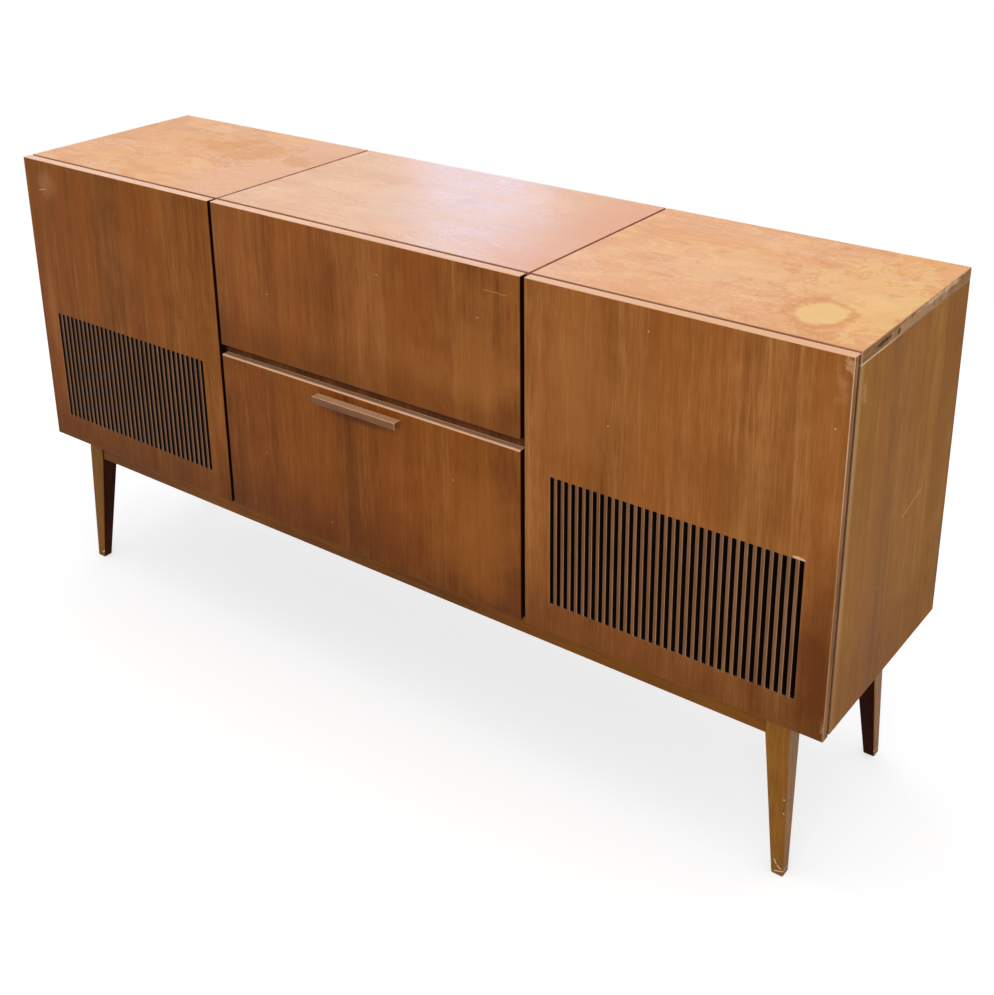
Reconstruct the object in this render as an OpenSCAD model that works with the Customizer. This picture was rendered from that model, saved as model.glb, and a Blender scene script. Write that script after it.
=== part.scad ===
// Record player cabinet: three rear-hinged tops, two slotted speaker fronts,
// a drop flap over the record store, and a leg frame with tapered legs.
// X runs across the cabinet, Y from the front to the back, Z up from the floor.

/* [Overall] */
// Width over the front panels
cabinet_w = 1756; // [1700:4:1900]
// Depth from the face of the fronts to the back edge of the tops
cabinet_d = 430; // [422:2:500]
// Height of the body, from the bottom edge of the fronts to the tops
body_h = 606; // [596:2:660]
// Height of the leg frame under the body
leg_h = 292; // [220:2:330]

/* [Boards] */
// Thickness of the front panels and the flap
front_t = 17; // [14:1:20]
// Thickness of the three tops
lid_t = 19; // [15:1:24]
// Thickness of the side panels
side_t = 17; // [14:1:22]
// Thickness of the two partitions
partition_t = 16; // [12:1:20]
// Thickness of the bottom, the shelf, the bay floors and the baffles
board_t = 12; // [9:1:15]
// Thickness of the back panel
back_t = 5; // [3:0.5:8]
// How far the side panels stand in from the ends of the fronts
side_in = 0; // [0:0.5:6]
// How far the back panel stands in from the back edge
back_in = 1; // [0.5:0.5:4]
// Dark reveal between the fronts and the carcass
reveal = 5; // [4.5:0.5:6]
// How deep the reveal is before it meets the packing
reveal_depth = 8; // [5:1:10]
// Thickness of the top rails
top_rail_t = 16; // [12:1:20]
// Height of the top rails
top_rail_h = 32; // [28:1:45]
// Gap between a closed top and the edges it lies over
lid_seat = 0.4; // [0.3:0.1:1]

/* [Fronts] */
// Gap between neighbouring fronts
front_gap = 8.5; // [6:0.5:12]
// Gap between neighbouring tops
lid_gap = 3.5; // [2:0.5:5]
// Height of the fixed upper front
upper_front_h = 274; // [266:1:290]
// Height of the finger recess over the flap
recess_h = 19; // [12:1:26]
// Thickness of the flap's raised tongue, which closes the finger recess at the back
tongue_t = 5; // [3:0.5:6]
// Gap between the tongue and the upper front over it
tongue_gap = 3; // [2:0.5:5]

/* [Grilles] */
// Width of a slot
slot_w = 6; // [4:0.5:7]
// Least width of the slats between the slots
slat_w = 7.3; // [5:0.1:10]
// Height of a slot
slot_h = 229; // [180:1:260]
// Distance from a side front's edge to its first slot
grille_margin = 49; // [40:1:70]
// Distance from a side front's bottom edge to its slots
grille_up = 54.5; // [40:0.5:70]

/* [Pull] */
// Length of the wooden pull
pull_l = 190; // [150:5:240]
// How far the pull stands out from the flap
pull_out = 17; // [15:1:26]
// Height of the pull's front lip
pull_h = 13; // [12:1:20]
// Thickness of the pull's lip and of its top
pull_t = 5.5; // [4:0.5:7]
// Distance from the flap's top edge down to the pull
pull_down = 16; // [10:1:40]
// Distance from the flap's middle to the pull's, to the left
pull_left = 4; // [0:1:20]

/* [Leg frame] */
// Width of a leg at its top
leg_top = 38; // [32:1:46]
// Width of a leg at its foot
leg_foot = 20; // [16:1:30]
// Distance from the ends of the fronts to the tops of the legs
leg_in = 65; // [50:1:110]
// Distance from the face of the fronts to the tops of the front legs
front_leg_back = 28; // [24:1:40]
// Distance from the back edge to the tops of the rear legs
rear_leg_in = 40; // [20:1:60]
// How far a foot splays out sideways from the leg's top
leg_splay = 10; // [0:1:16]
// How far a foot rakes out to the front or the back from the leg's top
leg_rake = 6; // [0:1:12]
// Height of the rails between the legs
rail_h = 47; // [30:1:60]
// Thickness of the rails between the legs
rail_t = 18; // [14:1:24]
// How far the rails stand in from the faces of the legs
rail_in = 2; // [0.5:0.5:4]

/* [Bays] */
// Depth of the centre bay, from the top's underside to the deck board
deck_drop = 126; // [120:1:140]
// Depth of the side bays, from the top's underside to their floors
well_drop = 259; // [240:1:275]
// Height of the shelf over the upper front's bottom edge
shelf_up = 2; // [0:0.5:6]
// Number of record dividers
divider_n = 3; // [2:1:4]
// Height of the record dividers
divider_h = 230; // [150:5:280]
// Thickness of the record dividers
divider_t = 6; // [4:0.5:9]

/* [Hinges and stays] */
// Width of each hinge
hinge_w = 60; // [50:2:80]
// Length of the outer knuckles
knuckle_l = 18; // [14:1:20]
// Radius of the knuckles of the tops' hinges
lid_knuckle_r = 3; // [2.6:0.1:3.1]
// Radius of the pins of the tops' hinges
lid_pin_r = 1.5; // [1.2:0.1:1.6]
// Radius of the knuckles of the flap's hinges
flap_knuckle_r = 2.2; // [2:0.1:2.4]
// Radius of the pins of the flap's hinges
flap_pin_r = 1; // [0.8:0.1:1.2]
// Thickness of the tops' hinge leaves
leaf_t = 1.5; // [1.2:0.1:1.6]
// Distance from a top's end to the middle of its hinge
hinge_inset = 95; // [70:5:140]
// How far a top swings open
lid_open = 85; // [60:1:88]
// How far the flap swings open
flap_open = 90; // [60:1:90]
// Distance from a top's hinge axis forward to the stay's pivot on the top
lid_pivot_apart = 58; // [52:1:62]
// Distance from the flap's hinge axis up to the stay's pivot on the flap
flap_pivot_apart = 150; // [120:2:170]
// Angle between a stay's pivot and its stud, seen from the hinge
stay_angle = 22; // [20:1:25]
// Half the width of a stay arm
arm_r = 6.5; // [6:0.1:7]
// Thickness of a stay arm
arm_t = 2.5; // [2:0.1:3]
// Radius of a stay stud's shank
stud_r = 3; // [2.5:0.1:3.1]
// Radius of a stay's pivot pin
pivot_r = 2; // [1.6:0.1:2.4]

/* [Record player] */
// Width of the deck plate
deck_w = 370; // [360:2:380]
// Depth of the deck plate
deck_d = 310; // [300:2:320]
// Thickness of the deck plate
deck_t = 6; // [4:0.5:7]
// Gap between the deck plate and the radio's face plate
works_apart = 35; // [25:1:50]
// Gap between the two plates and the partitions beside them
works_edge = 15.75; // [12:0.25:30]
// Radius of the platter
platter_r = 133; // [120:1:134]
// Thickness of the platter
platter_t = 9; // [7:0.5:11]
// Thickness of the rubber mat
mat_t = 3; // [2:0.5:4]
// Radius of the record spindle
spindle_r = 3.6; // [3.5:0.05:3.62]
// Length from the arm's pivot to its head
arm_l = 225; // [215:1:228]
// Radius of the arm's tube
tube_r = 4.5; // [3.5:0.5:5]
// Height of the arm over the deck plate
arm_up = 33; // [32:0.5:38]
// Radius of the deck's motor
motor_r = 30; // [24:1:34]
// Height of the deck's motor
motor_h = 45; // [35:1:60]

/* [Radio] */
// Width of the radio's face plate
fascia_w = 235; // [230:1:240]
// Depth of the radio's face plate
fascia_d = 300; // [290:2:304]
// Thickness of the radio's face plate
fascia_t = 4; // [3.5:0.5:6]
// Height of the radio's chassis
chassis_h = 92; // [70:1:94]
// Thickness of the chassis sheet
sheet_t = 1.5; // [1:0.1:2]
// Radius of the tuning knob
tuning_r = 18; // [15:0.5:20]
// Radius of the volume and tone knobs
small_knob_r = 14; // [12:0.5:16]
// Height of the knobs
knob_h = 19; // [14:0.5:24]
// Travel of the dial pointer to each side
pointer_reach = 66; // [50:1:72]
// Width of a push button
button_w = 24; // [18:1:28]
// Depth of a push button
button_d = 13; // [10:1:16]
// Travel of a push button
button_travel = 4; // [3:0.5:5]

/* [Loudspeakers] */
// Outer radius of the woofers
woofer_r = 100; // [85:1:105]
// Depth of the woofers
woofer_depth = 80; // [70:1:95]
// Outer radius of the tweeters
tweeter_r = 30; // [25:1:34]
// Distance between the middles of a woofer and its tweeter
driver_apart = 150; // [142:1:160]
// Thickness of the speaker cloth
cloth_t = 1; // [0.6:0.1:1.5]

/* [Hidden] */
$fn = 64;
running = 0.08;      // radial clearance of shafts in their holes
apart = 0.3;         // least distance between pieces that move past each other
knuckle_out = lid_knuckle_r + 0.2;
half_w = cabinet_w / 2;

// The centre bay is as wide as the record player and the radio need, and the side bays take the rest
partition_in_x = (deck_w + fascia_w + works_apart) / 2 + works_edge;
partition_x = partition_in_x + partition_t / 2;
partition_out_x = partition_in_x + partition_t;
centre_w = 2 * partition_x - front_gap;
side_front_w = half_w - centre_w / 2 - front_gap;

front_y = (pull_out - cabinet_d - knuckle_out - lid_knuckle_r) / 2;
reveal_y = front_y + front_t;
carcass_y = reveal_y + reveal;
back_y = front_y + cabinet_d;
inner_back_y = back_y - back_in - back_t;
base_z = leg_h;
floor_z = base_z + board_t;
top_z = leg_h + body_h;
lid_z = top_z - lid_t;
carcass_z = lid_z - lid_seat;
top_rail_z = carcass_z - top_rail_h;
side_x = half_w - side_in;
side_inner_x = side_x - side_t;
upper_z = top_z - upper_front_h;
flap_top_z = upper_z - recess_h;
tongue_z = upper_z - tongue_gap;
shelf_z = upper_z + shelf_up;
deck_z = lid_z - deck_drop;
well_z = lid_z - well_drop;
slot_span = side_front_w - 2 * grille_margin - slot_w;
slot_n = floor(slot_span / (slot_w + slat_w)) + 1;
slot_pitch = slot_span / (slot_n - 1);
slot_z = base_z + grille_up;
driver_x = half_w - side_front_w / 2;
driver_z = slot_z + slot_h / 2;
baffle_y = reveal_y + cloth_t;
driver_y = baffle_y + board_t;

// Record dividers
divider_pitch = 2 * partition_in_x / (divider_n + 1);
divider_y = carcass_y + 72;
divider_cut = 60;

// Leg frame
leg_x = half_w - leg_in;
leg_front_y = front_y + front_leg_back;
leg_rear_y = back_y - rear_leg_in;
rail_z = base_z - rail_h;

// Tops' hinges: the axis stands behind the back edge, level with the tops' undersides
lid_axis = [back_y + knuckle_out, lid_z - lid_seat / 2];
lid_leaf_near = lid_knuckle_r + 0.5;
side_lid_in_x = partition_x + lid_gap / 2;
centre_lid_x = partition_x - lid_gap / 2;

// Flap's hinges: the axis hangs under the reveal
flap_leaf_t = reveal / 2 - apart;
flap_axis = [reveal_y + reveal / 2, base_z - flap_knuckle_r - 0.5];
flap_leaf_near = flap_knuckle_r + 0.6;
flap_hinge_x = centre_w / 2 - hinge_inset;

// Stays: pivot and stud lie at one distance from the hinge axis, so an arm
// turns by half the angle of its top or flap
pivot_drop = 9;
lid_stay_r = norm([lid_pivot_apart, pivot_drop]);
lid_pivot = lid_axis + [-lid_pivot_apart, -pivot_drop];
lid_stud_dir = atan2(pivot_drop, lid_pivot_apart) + stay_angle;
lid_stud = lid_axis + lid_stay_r * [-cos(lid_stud_dir), -sin(lid_stud_dir)];
flap_pivot_back = 10;
flap_stay_r = norm([flap_pivot_back, flap_pivot_apart]);
flap_pivot = flap_axis + [flap_pivot_back, flap_pivot_apart];
flap_stud_dir = atan2(flap_pivot_back, flap_pivot_apart) + stay_angle;
flap_stud = flap_axis + flap_stay_r * [sin(flap_stud_dir), cos(flap_stud_dir)];
arm_off = 3;         // from the wall to a stay arm
ear_off = arm_off + arm_t + 0.5;
ear_t = 2;
ear_r = 7;
foot_l = 18;         // length of a stay bracket's foot along the top or flap
slot_clear = 0.3;
slot_end = 1;        // spare length at each end of a stay's slot

// Record player
deck_x = works_edge + deck_w / 2 - partition_in_x;
deck_y = (carcass_y + inner_back_y) / 2;
deck_top_z = deck_z + deck_t;
platter_in = 12;     // from the deck plate's end to the platter
platter_back = 8;
platter_x = deck_x - deck_w / 2 + platter_in + platter_r;
platter_y = deck_y + platter_back;
platter_z = deck_top_z + 2;
hub_r = 7;
hub_tube_r = hub_r + 5;
hub_down = 18;
spindle_up = 12;
mat_z = platter_z + platter_t;
arm_in = 40;         // from the deck plate's end to the arm's pivot
arm_fwd = 42;        // from the deck plate's back edge to the arm's pivot
arm_x = deck_x + deck_w / 2 - arm_in;
arm_y = deck_y + deck_d / 2 - arm_fwd;
arm_z = deck_top_z + arm_up;
column_r = 13;
yoke_in = 8.5;
yoke_t = 3;
arm_pin_r = 1.5;
lever_in = 80;       // from the deck plate's end to the lever
lever_back = 37;     // from the deck plate's front edge to the lever
lever_x = deck_x + deck_w / 2 - lever_in;
lever_y = deck_y - deck_d / 2 + lever_back;
motor_out = 105;
motor_back = 82;
motor_x = platter_x + motor_out;
motor_y = platter_y + motor_back;
works_gap = 4;       // room round the works in the deck board

// Radio
radio_fwd = 12;      // from the deck plate's middle forward to the face plate's
radio_x = partition_in_x - works_edge - fascia_w / 2;
radio_y = deck_y - radio_fwd;
fascia_z = deck_z + fascia_t;
radio_lip = 33;      // how far the face plate laps over its cut-out
chassis_gap = 1;
knob_in = 50;        // from the face plate's front edge to the knobs
button_back = 58;    // from the knobs to the buttons
dial_in = 88;        // from the face plate's back edge to the dial's middle
dial_margin = 30;    // from the pointer's limit to the dial's end
knob_y = radio_y - fascia_d / 2 + knob_in;
knob_end = 45.5;     // from the face plate's end to the outer knobs
knob_apart = fascia_w / 2 - knob_end;
button_y = knob_y + button_back;
button_apart = 36;
dial_y = radio_y + fascia_d / 2 - dial_in;
dial_w = 2 * (pointer_reach + dial_margin);
dial_d = 108;
dial_sunk = 1.5;
glass_lap = 6;
glass_t = 2;
shaft_r = 3;
shaft_down = 12;
stem_r = 1.5;

veneer = "sienna";
front_veneer = "saddlebrown";

// A box between two opposite corners
module block(low, high) {
  translate(low) cube(high - low);
}

// The children as drawn, or mirrored to the left half
module on_side(left) {
  if (left) mirror([1, 0, 0]) children();
  else children();
}

// A cylinder lying across the cabinet, from x along +X
module across(at, r, h) {
  translate(at) rotate([0, 90, 0]) cylinder(r = r, h = h);
}

// A cylinder pointing to the back
module backward(at, r, h) {
  translate(at) rotate([-90, 0, 0]) cylinder(r = r, h = h);
}

module side_panel() {
  color(veneer) block([side_inner_x, carcass_y, base_z], [side_x, back_y, carcass_z]);
}

module left_side_panel() {
  on_side(true) side_panel();
}

module right_side_panel() {
  on_side(false) side_panel();
}

module bottom_panel() {
  color("tan") block([-side_inner_x, carcass_y, base_z], [side_inner_x, inner_back_y, floor_z]);
}

// A partition, notched round the two top rails
module partition() {
  difference() {
    block([partition_in_x, carcass_y, floor_z], [partition_out_x, inner_back_y, carcass_z]);
    block([partition_in_x - 1, carcass_y - 1, top_rail_z],
      [partition_out_x + 1, carcass_y + top_rail_t, carcass_z + 1]);
    block([partition_in_x - 1, back_y - top_rail_t, top_rail_z],
      [partition_out_x + 1, back_y + 1, carcass_z + 1]);
  }
}

module partitions() {
  color("tan") for (left = [true, false]) on_side(left) partition();
}

// Upright boards that part the record sleeves, with their front corners cut away
module record_dividers() {
  color("tan") for (i = [1 : divider_n])
    translate([-partition_in_x + i * divider_pitch - divider_t / 2, 0, floor_z])
      rotate([90, 0, 90]) linear_extrude(divider_t)
        polygon([[divider_y, 0], [inner_back_y, 0], [inner_back_y, divider_h],
          [divider_y + divider_cut, divider_h], [divider_y, divider_h - divider_cut]]);
}

module record_shelf() {
  color("tan") block([-partition_in_x, carcass_y, shelf_z],
    [partition_in_x, inner_back_y, shelf_z + board_t]);
}

// The board that carries the record player and the radio, with holes for their works
module deck_board() {
  color("burlywood") difference() {
    block([-partition_in_x, carcass_y, deck_z - board_t], [partition_in_x, inner_back_y, deck_z]);
    translate([platter_x, platter_y, deck_z - board_t - 1])
      cylinder(r = hub_tube_r + works_gap, h = board_t + 2);
    translate([motor_x, motor_y, deck_z - board_t - 1])
      cylinder(r = motor_r + works_gap, h = board_t + 2);
    block([radio_x - fascia_w / 2 + radio_lip, radio_y - fascia_d / 2 + radio_lip,
      deck_z - board_t - 1],
      [radio_x + fascia_w / 2 - radio_lip, radio_y + fascia_d / 2 - radio_lip, deck_z + 1]);
  }
}

module well_floors() {
  color("tan") for (left = [true, false])
    on_side(left) block([partition_out_x, reveal_y, well_z - board_t],
      [side_inner_x, inner_back_y, well_z]);
}

module front_top_rail() {
  color("tan") block([-side_inner_x, carcass_y, top_rail_z],
    [side_inner_x, carcass_y + top_rail_t, carcass_z]);
}

module rear_top_rail() {
  color("tan") block([-side_inner_x, back_y - top_rail_t, top_rail_z],
    [side_inner_x, back_y, carcass_z]);
}

// The back panel, with a field of vents behind each bay and the lead's hole
vent_w = 5;
vent_h = 70;
vent_apart = 16;
vent_n = 9;
lead_hole_r = 8;

module vents(x, z) {
  for (i = [0 : vent_n - 1])
    block([x + (i - (vent_n - 1) / 2) * vent_apart - vent_w / 2, inner_back_y - 1, z - vent_h / 2],
      [x + (i - (vent_n - 1) / 2) * vent_apart + vent_w / 2, back_y + 1, z + vent_h / 2]);
}

module back_panel() {
  color("peru") difference() {
    block([-side_inner_x, inner_back_y, base_z], [side_inner_x, inner_back_y + back_t, top_rail_z]);
    for (left = [true, false]) on_side(left) vents(driver_x, driver_z);
    for (x = [-radio_x, radio_x]) vents(x, (shelf_z + board_t + deck_z - board_t) / 2);
    backward([radio_x - fascia_w / 2, inner_back_y - 1, shelf_z + board_t + 3 * lead_hole_r],
      lead_hole_r, back_t + 2);
  }
}

// Black packing that holds the fronts off the carcass and darkens the reveals
packing_x = centre_w / 2 + 0.5;

module side_packing() {
  difference() {
    block([packing_x, reveal_y, base_z + board_t - reveal_depth / 2],
      [side_inner_x + side_t - reveal_depth, carcass_y, carcass_z - reveal_depth]);
    block([partition_out_x, reveal_y - 1, floor_z], [side_inner_x, carcass_y + 1, top_rail_z]);
  }
}

module centre_packing() {
  difference() {
    block([-packing_x, reveal_y, shelf_z], [packing_x, carcass_y, carcass_z - reveal_depth]);
    block([-partition_in_x, reveal_y - 1, shelf_z - 1], [partition_in_x, carcass_y + 1, top_rail_z]);
  }
}

module packing_strips() {
  color("black") {
    for (left = [true, false]) on_side(left) side_packing();
    centre_packing();
  }
}

// A side front with its field of upright slots
module slotted_front() {
  color(front_veneer) difference() {
    block([half_w - side_front_w, front_y, base_z], [half_w, reveal_y, top_z]);
    for (i = [0 : slot_n - 1])
      translate([half_w - grille_margin - slot_w - i * slot_pitch, front_y - 1, slot_z])
        cube([slot_w, front_t + 2, slot_h]);
  }
}

module left_front_panel() {
  on_side(true) slotted_front();
}

module right_front_panel() {
  on_side(false) slotted_front();
}

module upper_front_panel() {
  color(front_veneer) block([-centre_w / 2, front_y, upper_z], [centre_w / 2, reveal_y, top_z]);
}

// The flap, with a tongue along its back that stands up behind the finger recess
module flap_door() {
  color(front_veneer) {
    block([-centre_w / 2, front_y, base_z], [centre_w / 2, reveal_y, flap_top_z]);
    block([-centre_w / 2, reveal_y - tongue_t, base_z], [centre_w / 2, reveal_y, tongue_z]);
  }
}

// The pull: a strip with an inverted-L section, so that fingers reach up behind its lip
module flap_pull() {
  color("peru") translate([-pull_left - pull_l / 2, front_y, flap_top_z - pull_down])
    rotate([90, 0, 90]) linear_extrude(pull_l)
      polygon([[0, 0], [-pull_out, 0], [-pull_out, -pull_h], [pull_t - pull_out, -pull_h],
        [pull_t - pull_out, -pull_t], [0, -pull_t]]);
}

// The outline of a leg from one side. Its outer edge leans out by lean, towards dir, and its
// inner edge is upright beside the rails and tapers under them
module leg_outline(lean, dir) {
  polygon([[dir * lean, 0], [0, base_z], [-dir * leg_top, base_z], [-dir * leg_top, rail_z],
    [dir * (lean - leg_foot), 0]]);
}

module leg(rear) {
  y0 = rear ? leg_rear_y : leg_front_y;
  depth = leg_top + leg_rake;
  color(front_veneer) intersection() {
    translate([leg_x, y0 + depth, 0]) rotate([90, 0, 0]) linear_extrude(2 * depth)
      leg_outline(leg_splay, 1);
    translate([leg_x - leg_top - 1, y0, 0]) rotate([90, 0, 90])
      linear_extrude(leg_top + leg_splay + 2) leg_outline(leg_rake, rear ? 1 : -1);
  }
}

module front_left_leg() {
  on_side(true) leg(false);
}

module front_right_leg() {
  on_side(false) leg(false);
}

module back_left_leg() {
  on_side(true) leg(true);
}

module back_right_leg() {
  on_side(false) leg(true);
}

module front_rail() {
  color(front_veneer) block([leg_top - leg_x, leg_front_y + rail_in, rail_z],
    [leg_x - leg_top, leg_front_y + rail_in + rail_t, base_z]);
}

module rear_rail() {
  color(front_veneer) block([leg_top - leg_x, leg_rear_y - rail_in - rail_t, rail_z],
    [leg_x - leg_top, leg_rear_y - rail_in, base_z]);
}

module cross_rails() {
  color(front_veneer) for (left = [true, false])
    on_side(left) block([leg_x - rail_in - rail_t, leg_front_y + leg_top, rail_z],
      [leg_x - rail_in, leg_rear_y - leg_top, base_z]);
}

// Loudspeakers
magnet_h = 24;
dust_cap_r = 25;
tweeter_depth = 24;

module baffle() {
  difference() {
    block([partition_out_x, baffle_y, floor_z], [side_inner_x, driver_y, well_z - board_t]);
    backward([driver_x, baffle_y - 1, driver_z], woofer_r * 0.88, board_t + 2);
    backward([driver_x + driver_apart, baffle_y - 1, driver_z], tweeter_r * 0.8, board_t + 2);
  }
}

module baffles() {
  color("black") for (left = [true, false]) on_side(left) baffle();
}

module speaker_cloths() {
  color("black") for (left = [true, false])
    on_side(left) block([partition_out_x + 1, reveal_y, floor_z + 1],
      [side_inner_x - 1, baffle_y, well_z - board_t - 1]);
}

// Turns a profile of radius and depth about the driver's axis, facing the front
module driver_turned(x) {
  translate([x, driver_y, driver_z]) rotate([-90, 0, 0]) rotate_extrude() children();
}

module woofer_frames() {
  rim = woofer_r * 0.88;
  magnet_r = woofer_r * 0.47;
  basket = woofer_depth - magnet_h;
  color("dimgray") for (left = [true, false]) on_side(left) driver_turned(driver_x)
    polygon([[rim, 0], [woofer_r, 0], [woofer_r, 3], [woofer_r - 4, 3], [magnet_r, basket],
      [magnet_r, woofer_depth], [0, woofer_depth], [0, basket], [magnet_r - 5, basket], [rim, 7]]);
}

module woofer_cones() {
  rim = woofer_r * 0.88 - 0.2;
  cone = woofer_depth * 0.5;
  color("gray") for (left = [true, false]) on_side(left) driver_turned(driver_x)
    polygon([[rim, 0.3], [rim, 2.3], [rim - 8, 2.3], [dust_cap_r, cone], [0, cone], [0, cone - 2],
      [dust_cap_r - 1, cone - 2], [rim - 9, 0.3]]);
}

module tweeters() {
  color("dimgray") for (left = [true, false]) on_side(left) driver_turned(driver_x + driver_apart)
    polygon([[0, 0], [tweeter_r, 0], [tweeter_r, 3], [tweeter_r * 0.7, 3],
      [tweeter_r * 0.7, tweeter_depth], [0, tweeter_depth]]);
}

// Hinges. A leaf lies between y0 and y1 from the pin and reaches from near to far;
// the outer leaf carries the end knuckles and the pin, the inner leaf the middle knuckle
module hinge_leaf(outer, r, pin, y0, y1, near, far) {
  end_x = hinge_w / 2 - knuckle_l;
  spans = outer ? [[-hinge_w / 2, -end_x], [end_x, hinge_w / 2]] : [[apart - end_x, end_x - apart]];
  difference() {
    union() {
      block([-hinge_w / 2, y0, min(near, far)], [hinge_w / 2, y1, max(near, far)]);
      for (s = spans) {
        block([s[0], y0, min(0, near)], [s[1], y1, max(0, near)]);
        across([s[0], 0, 0], r, s[1] - s[0]);
      }
    }
    if (!outer) across([-end_x, 0, 0], pin + running, 2 * end_x);
  }
  if (outer) across([-hinge_w / 2, 0, 0], pin, hinge_w);
}

module lid_fixed_leaf() {
  hinge_leaf(true, lid_knuckle_r, lid_pin_r, -knuckle_out, leaf_t - knuckle_out,
    -lid_leaf_near, -top_rail_h + 4);
}

module lid_moving_leaf() {
  hinge_leaf(false, lid_knuckle_r, lid_pin_r, -knuckle_out, leaf_t - knuckle_out,
    lid_leaf_near, lid_t - 2);
}

module flap_fixed_leaf() {
  hinge_leaf(true, flap_knuckle_r, flap_pin_r, apart, reveal / 2, flap_leaf_near,
    floor_z - flap_axis[1]);
}

module flap_moving_leaf() {
  hinge_leaf(false, flap_knuckle_r, flap_pin_r, -reveal / 2, -apart, flap_leaf_near,
    floor_z - flap_axis[1] + 4);
}

// Middles of the two hinges of a top between x0 and x1
function hinge_places(x0, x1) = [x0 + hinge_inset, x1 - hinge_inset];

module fixed_hinge_leaves() {
  color("goldenrod") {
    for (left = [true, false], x = hinge_places(side_lid_in_x, side_x))
      on_side(left) translate([x, lid_axis[0], lid_axis[1]]) lid_fixed_leaf();
    for (x = hinge_places(-centre_lid_x, centre_lid_x))
      translate([x, lid_axis[0], lid_axis[1]]) lid_fixed_leaf();
    for (x = [-flap_hinge_x, flap_hinge_x])
      translate([x, flap_axis[0], flap_axis[1]]) flap_fixed_leaf();
  }
}

// Stays. wall is the face that the stay runs along, and the stay lies towards the middle
module stud(wall, at) {
  across([wall - ear_off - 1.5, at[0], at[1]], stud_r + 2.5, 1.5);
  across([wall - ear_off, at[0], at[1]], stud_r, ear_off);
}

module stay_studs() {
  color("silver") {
    for (left = [true, false]) on_side(left) stud(side_inner_x, lid_stud);
    stud(partition_in_x, lid_stud);
    on_side(true) stud(partition_in_x, flap_stud);
  }
}

// The slotted arm from its pivot past the stud, with room for the whole travel
module stay_arm(wall, pivot, stud_at, r, swing) {
  way = stud_at - pivot;
  shut = 2 * r * sin(stay_angle / 2);
  open = 2 * r * sin((stay_angle + swing) / 2);
  wide = stud_r + slot_clear;
  first = shut - slot_end;
  last = open + slot_end;
  tip = last + wide + 4 - arm_r;
  translate([wall - arm_off - arm_t, pivot[0], pivot[1]]) rotate([atan2(way[1], way[0]), 0, 0])
    difference() {
      union() {
        block([0, 0, -arm_r], [arm_t, tip, arm_r]);
        across([0, 0, 0], arm_r, arm_t);
        across([0, tip, 0], arm_r, arm_t);
      }
      across([-1, 0, 0], pivot_r + running, arm_t + 2);
      block([-1, first, -wide], [arm_t + 1, last, wide]);
      across([-1, first, 0], wide, arm_t + 2);
      across([-1, last, 0], wide, arm_t + 2);
    }
}

// A stay's bracket on a top: a foot under the top, an ear and the pivot pin
module lid_bracket(wall) {
  x = wall - ear_off;
  block([x - ear_t, lid_pivot[0] - ear_r, lid_pivot[1]], [x, lid_pivot[0] + ear_r, lid_z]);
  across([x - ear_t, lid_pivot[0], lid_pivot[1]], ear_r, ear_t);
  across([x - ear_t, lid_pivot[0], lid_pivot[1]], pivot_r, ear_t + ear_off - arm_off + 0.8);
  block([x - foot_l, lid_pivot[0] - ear_r - 3, lid_z - ear_t],
    [x, lid_pivot[0] + ear_r + 3, lid_z]);
}

module flap_bracket(wall) {
  x = wall - ear_off;
  block([x - ear_t, reveal_y, flap_pivot[1] - ear_r], [x, flap_pivot[0], flap_pivot[1] + ear_r]);
  across([x - ear_t, flap_pivot[0], flap_pivot[1]], ear_r, ear_t);
  across([x - ear_t, flap_pivot[0], flap_pivot[1]], pivot_r, ear_t + ear_off - arm_off + 0.8);
  block([x - foot_l, reveal_y, flap_pivot[1] - ear_r - 3],
    [x, reveal_y + ear_t, flap_pivot[1] + ear_r + 3]);
}

// Magnetic catch on the right partition, with its strike plate on the flap
catch_z = flap_top_z - 42;
catch_h = 34;
catch_w = 16;
catch_d = 26;
strike_t = 2;

module flap_catch() {
  color("ivory") block([partition_in_x - catch_w, reveal_y + strike_t + 0.5, catch_z],
    [partition_in_x, carcass_y + catch_d, catch_z + catch_h]);
}

module flap_fittings() {
  color("goldenrod") {
    for (x = [-flap_hinge_x, flap_hinge_x])
      translate([x, flap_axis[0], flap_axis[1]]) flap_moving_leaf();
    on_side(true) flap_bracket(partition_in_x);
    block([partition_in_x - catch_w + 2, reveal_y, catch_z + 2],
      [partition_in_x - 2, reveal_y + strike_t, catch_z + catch_h - 2]);
  }
}

module flap_stay() {
  color("goldenrod") on_side(true)
    stay_arm(partition_in_x, flap_pivot, flap_stud, flap_stay_r, flap_open);
}

module side_lid() {
  color(veneer) block([side_lid_in_x, carcass_y, lid_z], [side_x, back_y, top_z]);
}

module left_lid() {
  on_side(true) side_lid();
}

module right_lid() {
  on_side(false) side_lid();
}

module centre_lid() {
  color(veneer) block([-centre_lid_x, carcass_y, lid_z], [centre_lid_x, back_y, top_z]);
}

module side_lid_fittings() {
  color("goldenrod") {
    for (x = hinge_places(side_lid_in_x, side_x))
      translate([x, lid_axis[0], lid_axis[1]]) lid_moving_leaf();
    lid_bracket(side_inner_x);
  }
}

module left_lid_fittings() {
  on_side(true) side_lid_fittings();
}

module right_lid_fittings() {
  on_side(false) side_lid_fittings();
}

module centre_lid_fittings() {
  color("goldenrod") {
    for (x = hinge_places(-centre_lid_x, centre_lid_x))
      translate([x, lid_axis[0], lid_axis[1]]) lid_moving_leaf();
    lid_bracket(partition_in_x);
  }
}

module lid_stay(wall) {
  color("goldenrod") stay_arm(wall, lid_pivot, lid_stud, lid_stay_r, lid_open);
}

module left_lid_stay() {
  on_side(true) lid_stay(side_inner_x);
}

module centre_lid_stay() {
  lid_stay(partition_in_x);
}

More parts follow.
